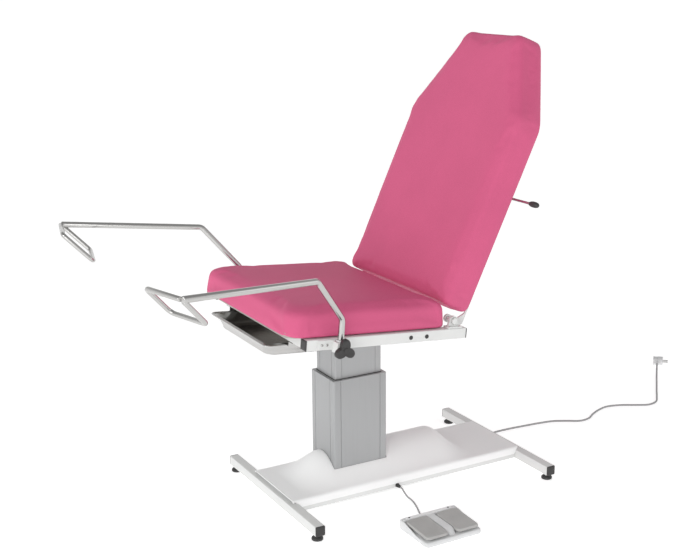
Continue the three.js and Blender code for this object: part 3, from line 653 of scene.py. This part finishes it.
def back_outline(inset, corner=0.024):
    """Outline of the back, up x and across y, drawn in by an inset."""
    pad, steps = BACK_PAD, 8
    half = [(pad["bottom"] + inset, pad["half_bottom"] - inset),
            (pad["shoulder"] - inset * 0.3, pad["half_shoulder"] - inset),
            (pad["top"] - inset, pad["half_top"] - inset * 0.65)]
    corners = [Vector((x, -y, 0)) for x, y in half] + [Vector((x, y, 0)) for x, y in half[::-1]]
    points = []
    for before, here, after in zip(corners[-1:] + corners, corners, corners[1:] + corners[:1]):
        start = here + (before - here).normalized() * corner
        end = here + (after - here).normalized() * corner
        for k in range(steps + 1):
            t = k / steps
            p = start * (1 - t) ** 2 + here * (2 * t * (1 - t)) + end * t * t
            points.append((p.x, p.y))
    return points


def make_cushions():
    low, high = SEAT_PAD["low"], SEAT_PAD["high"]
    rings = outline_rings(seat_outline, eased_edges(low, high, 0.004, 0.021, 7))
    upholster("seat_pad", rings, low, 0.004, SEAT, "seat_lift", "seat_cushion")
    rear, front = BACK_PAD["rear"], BACK_PAD["front"]
    rings = outline_rings(back_outline, eased_edges(rear, front, 0.012, 0.014, 7))
    upholster("back_pad", rings, rear, 0.006, BACK, "backrest", "backrest_cushion")


make_cushions()


# ---------- underside of the back pad
def hem_outline(inset):
    return back_outline(inset, 0.018)


def make_hem():
    """Vinyl turned over the board's edge: a flat band with a soft inner edge."""
    outer, inner, thick = 0.012, 0.050, 0.0011
    z = BACK_PAD["rear"] + 0.0001
    levels = [(outer, z), (outer + 0.002, z - thick), (inner - 0.002, z - thick * 0.9),
              (inner, z - thick * 0.2), (inner, z + 0.0002), (outer, z + 0.0002)]
    hem = loft(outline_rings(hem_outline, levels), closed=True)
    from_bmesh("back_pad_hem", hem, "pink_vinyl", "backrest", BACK, sharp=60)


def make_staples():
    """Round-backed wire staples along the hem."""
    pitch, half, back, wire = 0.045, 0.005, 0.0046, 0.0006
    height = Vector((0, 0, BACK_PAD["rear"] - 0.0011))
    drop = Vector((0, 0, 0.0008))
    bm = bmesh.new()
    carried = 0.0
    outline = [Vector((*p, 0)) for p in hem_outline(0.040)]
    for a, b in zip(outline, outline[1:] + outline[:1]):
        length = (b - a).length
        along = (b - a).normalized()
        while carried < length:
            here = a.lerp(b, carried / length) + height
            ends = [here - along * half, here - along * back - drop, here + along * back - drop,
                    here + along * half]
            skin(bm, sweep(ends, wire, 6))
            carried += pitch
        carried -= length
    from_bmesh("back_pad_staples", bm, "stainless", "backrest", BACK)


make_hem()
make_staples()


# ---------- base cover
COVER = {"front": -0.178, "rear": 0.640, "half": 0.131, "top": 0.058, "sheet": 0.003, "hump": 0.076,
         "skirt": 0.034, "skirt_front": -0.157, "skirt_rear": 0.628, "bend": 0.007}
COLUMN_X = 0.0855


def smooth(t):
    t = min(max(t, 0.0), 1.0)
    return t * t * (3 - 2 * t)


def cover_height(x, y):
    along = smooth((x + 0.130) / 0.120) * (1 - smooth((x - 0.370) / 0.110))
    across = (0.5 * (1 + math.cos(math.pi * min(abs(y) / COVER["half"], 1)))) ** 0.7
    return COVER["hump"] * along * across


def make_cover():
    """One sheet: a hump along the middle, a bend down each long side, and the column's hole cut through."""
    flat = COVER["half"] - COVER["bend"]
    drop = COVER["top"] - COVER["skirt"]
    across = [(-flat + 2 * flat * i / 64, 0.0) for i in range(65)]
    side = []
    for i in range(1, 7):
        angle = i / 6 * math.pi / 2
        side.append((flat + COVER["bend"] * math.sin(angle), COVER["bend"] * (1 - math.cos(angle))))
    side += [(COVER["half"], COVER["bend"] + (drop - COVER["bend"]) * i / 3) for i in range(1, 4)]
    section = [(-y, d) for y, d in reversed(side)] + across + side
    bm = bmesh.new()
    lines = []
    columns = 180
    lip = 0.0045
    for i in range(columns + 1):
        x = COVER["front"] + (COVER["rear"] - COVER["front"]) * i / columns
        front_share = smooth((x - COVER["skirt_front"] + 0.014) / 0.016)
        rear_share = smooth((COVER["skirt_rear"] + 0.010 - x) / 0.012)
        share = front_share * rear_share
        line = []
        for y, d in section:
            lowered = d if d <= lip else lip + (d - lip) * share
            line.append(bm.verts.new((x, y, COVER["top"] - lowered + cover_height(x, y) - 0.0002)))
        lines.append(line)
    for low, high in zip(lines, lines[1:]):
        for j in range(len(low) - 1):
            bm.faces.new((low[j], low[j + 1], high[j + 1], high[j]))
    gone = []
    for face in bm.faces:
        middle = face.calc_center_median()
        if abs(middle.x - COLUMN_X) < 0.0935 and abs(middle.y) < 0.0725:
            gone.append(face)
    bmesh.ops.delete(bm, geom=gone, context="FACES")
    for v in bm.verts:
        if v.is_boundary and abs(v.co.x - COLUMN_X) <= 0.11 and abs(v.co.y) <= 0.09:
            near = nearest_on_outline((v.co.x - COLUMN_X, v.co.y), 0.187, 0.145, 0.0065)
            v.co.x = COLUMN_X + near[0]
            v.co.y = near[1]
    obj = raw_object("cover_shell", bm)
    apply_modifier(obj, "SOLIDIFY", thickness=COVER["sheet"], offset=-1)
    finish_piece(obj, "cover_white", "base", sharp=50)
    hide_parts("base_cover")


def nearest_on_outline(point, width, height, radius):
    """Point of a rounded rectangle's outline that is nearest."""
    x, y = point
    sx, sy = (1 if x >= 0 else -1), (1 if y >= 0 else -1)
    cx, cy = width / 2 - radius, height / 2 - radius
    ax, ay = abs(x), abs(y)
    if ax > cx and ay > cy:
        away = Vector((ax - cx, ay - cy))
        away = away.normalized() * radius if away.length > 0 else Vector((radius, 0))
        return sx * (cx + away.x), sy * (cy + away.y)
    if width / 2 - ax < height / 2 - ay:
        return sx * width / 2, y
    return x, sy * height / 2


make_cover()


# ---------- lifting column
def grooved_outline(width, height, radius, inset, groove_width, groove_depth):
    """Rounded rectangle with a narrow groove near both ends of every face."""
    steps = 8
    half = groove_width / 2
    groove = ((-half, 0), (-half + 0.0004, groove_depth), (half - 0.0004, groove_depth), (half, 0))
    corners = [Vector(p) for p in rounded_outline(width, height, radius, steps)]
    outline = []
    for quarter, along in enumerate((Vector((-1, 0)), Vector((0, -1)), Vector((1, 0)), Vector((0, 1)))):
        length, reach = (height, width) if quarter % 2 else (width, height)
        out = Vector((along.y, -along.x))
        outline += corners[quarter * (steps + 1):(quarter + 1) * (steps + 1)]
        for centre in (inset - length / 2, length / 2 - inset):
            for offset, depth in groove:
                outline.append(out * (reach / 2) + (along * (centre + offset) - out * depth))
    return outline


def make_columns():
    column_floor = 0.0562
    outer_top = 0.377
    outer = grooved_outline(0.184, 0.142, 0.005, 0.024, 0.0028, 0.0014)

    def ring(points, z):
        return [(COLUMN_X + p.x, p.y, z if not callable(z) else z(COLUMN_X + p.x)) for p in points]

    bore = matched_outline(0.1644, 0.1224, 0.0055, outer)
    edge = 0.0008
    small = [p * (1 - edge / 0.09) for p in outer]
    rings = [ring(outer, column_floor), ring(outer, outer_top - edge), ring(small, outer_top),
             ring(bore, outer_top), ring(bore, column_floor)]
    piece = from_bmesh("column_outer_tube", loft(rings, closed=True), "column_aluminium", "base", sharp=40)
    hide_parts("outer_column")

    inner = grooved_outline(0.160, 0.118, 0.005, 0.022, 0.0026, 0.0012)
    wall = matched_outline(0.148, 0.106, 0.002, inner)

    def head(x):
        """Underside of the tilted top plate, at a place along the column."""
        plate = SEAT @ Vector((0.3, 0, -0.0100))
        return plate.z - (x - plate.x) * math.tan(SEAT_TILT)

    foot = 0.2122
    rings = [ring(inner, foot), ring(inner, head), ring(wall, head), ring(wall, foot)]
    piece = from_bmesh("column_inner_tube", loft(rings, closed=True), "column_aluminium", "seat_lift",
                       sharp=40)
    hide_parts("inner_column")

    # plastic guide collar let into the top of the outer tube
    low, high = 0.340, 0.3785
    collar_out = matched_outline(0.1640, 0.1220, 0.0053, outer)
    collar_in = matched_outline(0.1606, 0.1186, 0.0052, outer)
    rings = [ring(collar_out, low), ring(collar_out, high), ring(collar_in, high), ring(collar_in, low)]
    from_bmesh("column_guide_collar", loft(rings, closed=True), "black_plastic", "base", sharp=40)


def matched_outline(width, height, radius, like):
    """Rounded rectangle with one point on each ray from the middle through another outline's points."""
    outline = [Vector(p) for p in rounded_outline(width, height, radius, 19)]
    made = []
    for target in like:
        best = None
        direction = target.normalized()
        for a, b in zip(outline, outline[1:] + outline[:1]):
            edge = b - a
            cross = direction.x * edge.y - direction.y * edge.x
            if abs(cross) < 1e-12:
                continue
            t = (a.x * edge.y - a.y * edge.x) / cross
            s = (a.x * direction.y - a.y * direction.x) / cross
            if t > 0 and -1e-6 <= s <= 1 + 1e-6 and (best is None or t < best):
                best = t
        made.append(direction * (best or target.length))
    return made


make_columns()


# ---------- caps, feet and fasteners
BEAMS = (("front", -0.175), ("rear", 0.646))


def tube_cap(name, size, place, body, proud=0.0036):
    """Square push-in cap with a domed face and rounded rim, on the end of a tube; +Z out."""
    levels = ((0.0003, 0.0002), (0, 0.0008), (0, proud * 0.6), (0.0007, proud * 0.85), (0.0022, proud),
              (0.007, proud + 0.0004))
    rings = stacked(levels, *size, lambda inset: max(0.0032 - inset, 0.0012), 5)
    from_bmesh(name, loft(rings), "black_plastic", body, place, sharp=50)


def make_caps():
    for end, x in BEAMS:
        for side, s in SIDES:
            place = towards((0, s, 0), (x, s * 0.2915, 0.0326))
            tube_cap(f"{end}_{side}_beam_cap", (0.0302, 0.0302), place, "base")
    for side, s in SIDES:
        for end, out, u in (("front", -1, 0), ("rear", 1, 0.517)):
            place = SEAT @ towards((out, 0, 0), (u, s * 0.29565, 0.0155))
            tube_cap(f"{side}_rail_{end}_cap", (0.0312, 0.0297), place, "seat_lift")
        for number, u in enumerate((0.330, 0.383)):
            plug = rounded_profile(0.0062, -0.0001, 0.0012, 0.0008)
            from_bmesh(f"{side}_rail_plug_{number + 1}", lathe(plug, 28), "black_plastic", "seat_lift",
                       SEAT @ towards((0, s, 0), (u, s * 0.3104, 0.0150)), sharp=50)
        end = BACK @ towards((0, s, 0), (0.620, s * 0.1625, -0.0628))
        tube_cap(f"{side}_back_upper_cap", (0.0252, 0.0252), end, "backrest", 0.0025)


def make_feet():
    """Levelling foot: a domed nylon pad with a grip rim, a lock nut and its stud."""
    for end, x in BEAMS:
        for side, s in SIDES:
            name = f"{end}_{side}_foot"
            body = f"{name}_screw"
            place = Matrix.Translation((x, s * 0.274, 0))
            pad = [(0, 0), (0.0148, 0), (0.0163, 0.0007), (0.017, 0.0022), (0.017, 0.0056), (0.0163, 0.0071),
                   (0.0140, 0.0088), (0.0100, 0.0100), (0.0070, 0.0104), (0, 0.0104)]
            piece = from_bmesh(f"{name}_pad", lathe(pad, 48), "black_plastic", body, place, sharp=50)
            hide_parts(name)
            from_bmesh(f"{name}_nut", hexagon(0.0075, 0.0042, 0.0006), "stainless", body,
                       place @ Matrix.Translation((0, 0, 0.0102)))
            stud = rounded_profile(0.0040, 0.0140, 0.0174, 0.0003)
            from_bmesh(f"{name}_stud", lathe(stud, 24), "stainless", body, place)


def make_hinge_bolts():
    for side, s in SIDES:
        base = SEAT @ towards((0, s, 0), (HINGE_U, s * 0.2992, HINGE_W))
        washer = rounded_profile(0.0105, 0, 0.0016, 0.0005)
        from_bmesh(f"{side}_hinge_washer", lathe(washer, 40), "stainless", "seat_lift", base)
        for number, du in enumerate((-0.018, 0.018)):
            place = SEAT @ Vector((HINGE_U + du, s * 0.3045, 0.0355))
            screw_head(f"{side}_bracket_screw_{number + 1}", place, SEAT.to_3x3() @ Vector((0, 0, 1)),
                       "seat_lift", 0.0028, 0.0016)


make_caps()
make_feet()
make_hinge_bolts()


# ---------- leg supports and clamps
CLAMP_U = 0.094
POST_Y = 0.3265
KNOB_W = 0.009


def leg_place(s):
    turn = Matrix.Rotation(-s * math.radians(14), 4, "Z")
    return SEAT @ Matrix.Translation((CLAMP_U, s * POST_Y, 0)) @ turn


def round_bar(name, route, radius, sides, body, place, sharp=50):
    """Steel bar along a route, with domed ends."""
    points, radii = list(route), [radius] * len(route)
    for _ in range(2):
        tip = points[-1]
        reach = (tip - points[-2]).normalized() * radius * 0.35
        points[-1] = tip - reach
        for share in (0.25, 0.5, 0.75, 1.0):
            points.append(tip - reach * (1 - share))
            radii.append(radius * math.sqrt(1 - share ** 2) + 1e-5)
        points.reverse()
        radii.reverse()
    return from_bmesh(name, loft(sweep(points, radius, sides, radii)), "stainless", body, place, sharp=sharp)


def make_leg_supports():
    for side, s in SIDES:
        def at(forward, outward, up):
            return Vector((-forward, s * outward, up)) * MM

        post = [at(0, 0, -14), at(0, 0, 89), at(124, 27, 210), at(550, 27, 210)]
        corner = post[-1]
        inward, rearward = at(0, -147, -4), at(-88, -16, -74)
        loop = [corner + rearward * 0.06, corner + rearward, corner + rearward + inward, corner + inward,
                corner + inward * 0.04]
        body = f"{side}_leg"
        tube = round_bar(f"{side}_leg_tube", fillet(post, 0.024, 12), 0.009, 28, body, leg_place(s))
        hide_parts(f"{side}_leg_support")
        round_bar(f"{side}_heel_loop", fillet(loop, 0.015, 10), 0.007, 22, body, leg_place(s))


def knob_rings():
    """Three-lobed hand knob about Z: radius by angle, drawn in towards both faces."""
    sides = 96
    levels = ((0, 0.0022), (0.0008, 0.0007), (0.0022, 0), (0.0125, 0), (0.0145, 0.0009), (0.0160, 0.0028),
              (0.0168, 0.0060), (0.0166, 0.0100), (0.0158, 0.0125), (0.0155, 0.0150))
    rings = []
    for z, inset in levels:
        ring = []
        for i in range(sides):
            angle = i / sides * math.tau
            lobe = 0.5 * (1 + math.cos(3 * angle))
            radius = max(0.0148 + 0.0167 * lobe ** 0.8 - inset * (0.35 + 0.65 * lobe), 0.004)
            ring.append((radius * math.cos(angle + math.pi / 2), radius * math.sin(angle + math.pi / 2), z))
        rings.append(ring)
    return rings


def make_clamps():
    for side, s in SIDES:
        outer_y = s * (POST_Y + 0.016)
        knob_place = SEAT @ Matrix.Translation((CLAMP_U, outer_y + s * 0.0022, KNOB_W)) \
            @ Matrix.Rotation(-s * math.pi / 2, 4, "X")
        body = f"{side}_knob"
        knob = from_bmesh(f"{side}_hand_knob", loft(knob_rings()), "black_plastic", body, knob_place,
                          sharp=60)
        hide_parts(f"{side}_clamp_knob")
        cap = rounded_profile(0.0075, 0.0150, 0.0172, 0.0010)
        from_bmesh(f"{side}_hand_knob_cap", lathe(cap, 32), "black_plastic", body, knob_place)
        for number, u in enumerate((0.044, 0.060)):
            screw_head(f"{side}_clamp_screw_{number + 1}", SEAT @ Vector((u, s * 0.3147, 0.0155)),
                       (0, s, 0), "seat_lift", 0.0040, 0.0020)
        collar = ((0.0095, -0.0002), (0.0112, -0.0002), (0.0118, 0.0006), (0.0118, 0.0040), (0.0112, 0.0050),
                  (0.0095, 0.0050))
        rings = [circle(r, z, 36) for r, z in collar]
        from_bmesh(f"{side}_bush_collar", loft(rings, closed=True), "grey_plastic", f"{side}_swivel",
                   SEAT @ Matrix.Translation((CLAMP_U, s * POST_Y, 0.0262)))


make_leg_supports()
make_clamps()


# ---------- instrument tray
def make_tray():
    """Pressed stainless pan: rolled rim, tapered walls, rounded corners and floor."""
    front, rear, half = -0.064, 0.190, 0.193
    middle = (front + rear) / 2
    length = rear - front
    rim, depth, sheet = -0.0117, 0.040, 0.0012
    wall_in = 0.012
    extra = half - 0.171 - wall_in      # the side walls stand further in than the end walls

    def ring(inset_x, inset_y, z, radius):
        points = rounded_outline(length - 2 * inset_x, 2 * half - 2 * inset_y, radius, 8)
        return [(middle + x, y, z) for x, y in points]

    def floor_bend(turns, outset, corner):
        """Rings round the bend from a wall to the floor; the outer face is one sheet further out."""
        rings = []
        for i in turns:
            angle = i / 5 * math.pi / 2
            inset = wall_in + 0.011 - outset + 0.010 * (1 - math.cos(angle))
            z = rim - depth + 0.010 - 0.010 * math.sin(angle) + sheet - outset
            rings.append(ring(inset, extra + inset, z, corner))
        return rings

    inner = []
    for i in range(9):
        angle = math.pi * (1.25 - i / 8 * 1.25)
        inset = 0.003 + 0.003 * math.cos(angle)
        inner.append(ring(inset, inset, rim - 0.0025 + 0.003 * math.sin(angle), 0.018))
    for inset, z, corner in ((wall_in - 0.003, rim, 0.020), (wall_in, rim - 0.003, 0.022)):
        inner.append(ring(inset, extra + inset, z, corner))
    inner += floor_bend(range(6), 0, 0.026)
    outer = floor_bend(range(5, -1, -1), sheet, 0.027)
    for outset, z, corner in ((sheet, rim - 0.003, 0.023), (0.004, rim - 0.0015, 0.020)):
        outer.append(ring(wall_in - outset, extra + wall_in - outset, z, corner))
    bm = bmesh.new()
    made = [[bm.verts.new(p) for p in points] for points in inner + outer]
    floor = len(inner) - 1
    for index, (low, high) in enumerate(zip(made, made[1:] + made[:1])):
        if index != floor:
            bridge(bm, low, high)
    bm.faces.new(made[floor])
    bm.faces.new(made[floor + 1])
    piece = from_bmesh("tray_pan", bm, "stainless", "tray", SEAT, sharp=40)
    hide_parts("instrument_tray")


make_tray()


# ---------- footswitch
SWITCH = {"left": 0.060, "right": 0.250, "front": -0.479, "rear": -0.330}


def make_footswitch():
    left, right, front, rear = SWITCH.values()
    width = right - left
    middle = Vector(((left + right) / 2, (front + rear) / 2, 0))
    levels = ((0.0015, 0.0), (0.0, 0.0015), (0.0, 0.0075), (0.0010, 0.0115), (0.0026, 0.0138),
              (0.0046, 0.0140))
    rings = stacked(levels, width, rear - front, lambda inset: 0.012 - inset * 0.7, 8, middle)
    tub = from_bmesh("footswitch_tub", loft(rings), "grey_plastic", "base", sharp=50)
    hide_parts("footswitch_housing")

    # rear ridge, wedge-shaped in section, holding the hinge and the white cover strip
    rings = []
    for x, drop in ((left + 0.0045, 0.003), (left + 0.0065, 0), (right - 0.0065, 0), (right - 0.0045, 0.003)):
        section = ((0.0015 + drop, 0.009), (0.0045 + drop, 0.0265 - drop), (0.0070 + drop, 0.0300 - drop),
                   (0.0215, 0.0306 - drop), (0.0232, 0.0285 - drop), (0.0232, 0.009))
        rings.append([(x, rear - back, z) for back, z in section])
    from_bmesh("footswitch_ridge", loft(rings), "grey_plastic", "base", sharp=40)
    levels = eased_edges(-0.0006, 0.0006, 0.0004, 0.0004, 4)
    strip = stacked(levels, width - 0.034, 0.0125, lambda inset: 0.0018 - inset, 5)
    from_bmesh("footswitch_strip", loft(strip), "cover_white", "base",
               Matrix.Translation((middle.x, rear - 0.0142, 0.0309)))
    for number, x in enumerate((left + 0.028, right - 0.028)):
        screw_head(f"footswitch_screw_{number + 1}", (x, rear - 0.0142, 0.0314), (0, 0, 1), "base",
                   0.0032, 0.0010, "black_plastic")

    # side cheeks, falling from the ridge to the tub's rim
    for side, x in (("left", left + 0.0022), ("right", right - 0.0022)):
        rings = []
        for offset, drop in ((-0.0018, 0.0008), (-0.0012, 0), (0.0012, 0), (0.0018, 0.0008)):
            section = ((0.0050, 0.009), (0.0070, 0.0292 - drop), (0.0300, 0.0288 - drop),
                       (0.0900, 0.0150 - drop), (0.1200, 0.0130 - drop), (0.1200, 0.009))
            rings.append([(x + offset, rear - back, z) for back, z in section])
        from_bmesh(f"footswitch_{side}_cheek", loft(rings), "grey_plastic", "base", sharp=40)

    # bridge between the pedals, falling to the front lip
    rings = []
    bridge_front, bridge_rear = front + 0.004, rear - 0.020
    for i in range(13):
        t = i / 12
        y = bridge_front + (bridge_rear - bridge_front) * t
        top = 0.0095 + 0.0200 * smooth(t / 0.22)
        half = 0.0122 - 0.0022 * (1 - smooth(t / 0.2))
        section = ((-half, 0.006), (-half, top - 0.002), (0.002 - half, top), (half - 0.002, top),
                   (half, top - 0.002), (half, 0.006))
        rings.append([(middle.x + x, y, z) for x, z in section])
    from_bmesh("footswitch_bridge", loft(rings), "grey_plastic", "base", sharp=40)
    for side, s in SIDES:
        make_pedal(side, s, middle.x)


def make_pedal(side, s, middle_x):
    """Pedal plate with a rounded tread and a stepped edge."""
    outer = SWITCH["right"] - 0.005 if s > 0 else SWITCH["left"] + 0.005
    inner = middle_x + s * 0.0133
    front, rear = SWITCH["front"] + 0.0045, SWITCH["rear"] - 0.0238
    place = Matrix.Translation(((outer + inner) / 2, (front + rear) / 2, 0.0222))
    tilt = place @ Matrix.Rotation(math.radians(2), 4, "X")
    levels = ((0.0030, -0.0004), (0.0014, 0.0002), (0.0008, 0.0014), (0.0008, 0.0032), (0.0018, 0.0036),
              (0.0020, 0.0042), (0.0020, 0.0054), (0.0026, 0.0068), (0.0042, 0.0077), (0.0070, 0.0080))
    rings = stacked(levels, abs(outer - inner), rear - front, lambda inset: 0.0125 - inset * 0.5, 9)
    pedal = from_bmesh(f"{side}_pedal_pad", loft(rings), "pedal_grey", f"{side}_pedal_plate", tilt, sharp=50)
    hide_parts(f"{side}_pedal")


make_footswitch()


# ---------- release lever
def make_lever():
    """Steel rod with an oval knob, pivoting in the valve box behind the back."""
    route = [Vector((0.392, y, -0.070)) for y in (-0.1700, -0.250, -0.344)]
    rod = round_bar("release_rod", route, 0.004, 20, "lever", BACK, sharp=35)
    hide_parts("release_lever")
    profile = [(0, 0), (0.0050, 0.0), (0.0062, 0.0008), (0.0078, 0.0060), (0.0087, 0.0130), (0.0089, 0.0200),
               (0.0085, 0.0270), (0.0072, 0.0330), (0.0048, 0.0368), (0.0022, 0.0379), (0, 0.0380)]
    from_bmesh("release_knob", lathe(profile, 40), "black_plastic", "lever",
               BACK @ towards((0, -1, 0), (0.392, -0.336, -0.070)), sharp=60)


make_lever()


# ---------- gas spring
def make_gas_spring():
    eye = Vector((0.300, 0.115, -0.030))
    angle = math.radians(19.1)
    place = SEAT @ Matrix.Translation(eye) @ Matrix.Rotation(-angle, 4, "Y")
    along = place @ Matrix.Rotation(math.pi / 2, 4, "Y")
    barrel = [(0, 0.010), (0.0062, 0.010), (0.0092, 0.0125), (0.010, 0.015), (0.010, 0.1365), (0.0094, 0.139),
              (0.0078, 0.140), (0.0047, 0.140), (0.0047, 0.062), (0, 0.062)]
    body = from_bmesh("spring_barrel", lathe(barrel, 36), "black_plastic", "spring_cylinder", along, sharp=40)
    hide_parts("gas_spring_cylinder")
    ring_eye("spring_lower_eye", 0.009, 0.0046, 0.013, place, "spring_cylinder")
    rod = rounded_profile(0.004, 0.1405, 0.2530, 0.0004)
    piece = from_bmesh("spring_rod_bar", lathe(rod, 28), "stainless", "spring_rod", along, sharp=40)
    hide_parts("gas_spring_rod")
    upper = place @ Matrix.Translation((0.2602, 0, 0))
    ring_eye("spring_upper_eye", 0.0085, 0.0040, 0.012, upper, "spring_rod")


def ring_eye(name, outer, inner, width, place, body):
    """Eye about Y with rounded rims."""
    half = width / 2
    section = ((inner, -half + 0.0004), (inner + 0.0004, -half), (outer - 0.0008, -half),
               (outer, -half + 0.0008), (outer, half - 0.0008), (outer - 0.0008, half),
               (inner + 0.0004, half), (inner, half - 0.0004))
    rings = [[(x, y, z) for x, z, _ in circle(r, 0, 32)] for r, y in section]
    from_bmesh(name, loft(rings, closed=True), "dark_steel", body, place, sharp=40)


make_gas_spring()


# ---------- studio
def make_studio():
    bm = bmesh.new()
    reach = 150.0
    corners = ((-reach, -reach), (reach, -reach), (reach, reach), (-reach, reach))
    bm.faces.new([bm.verts.new((x, y, -0.0005)) for x, y in corners])
    mesh = bpy.data.meshes.new("floor")
    bm.to_mesh(mesh)
    bm.free()
    floor = bpy.data.objects.new("floor", mesh)
    bpy.context.scene.collection.objects.link(floor)
    material, _ = new_material("floor", (0.92, 0.92, 0.92), 0.85, Specular_IOR_Level=0.1,
                               Emission_Color=(1, 1, 1, 1), Emission_Strength=0.52)
    floor.data.materials.append(material)

    world = bpy.data.worlds.new("studio")
    bpy.context.scene.world = world
    world.use_nodes = True
    # bright walls and a dimmer ceiling, so that upright faces are lit more than level ones
    background = world.node_tree.nodes["Background"]
    background.inputs["Strength"].default_value = 1.0
    direction = add(world, "ShaderNodeTexCoord")
    parts = add(world, "ShaderNodeSeparateXYZ")
    link(world, direction.outputs["Generated"], parts.inputs["Vector"])
    light = spread(world, parts.outputs["Z"], 1.0, 0.38, 0.1, 0.85, interpolation_type="SMOOTHSTEP")
    link(world, light, background.inputs["Color"])
    for name, place, size, power in (("key", (-3.2, -3.2, 1.7), 2.6, 34), ("fill", (2.8, -2.6, 2.2), 2.4, 8),
                                     ("front", (-3.2, -0.6, 2.5), 1.8, 25)):
        data = bpy.data.lights.new(name, "AREA")
        data.shape = "DISK"
        data.size = size
        data.energy = power
        lamp = bpy.data.objects.new(name, data)
        aim = Vector((0.05, 0, 0.6)) - Vector(place)
        lamp.matrix_world = Matrix.Translation(place) @ aim.to_track_quat("-Z", "Y").to_matrix().to_4x4()
        bpy.context.scene.collection.objects.link(lamp)
    bpy.context.scene.view_settings.view_transform = "Standard"


make_studio()
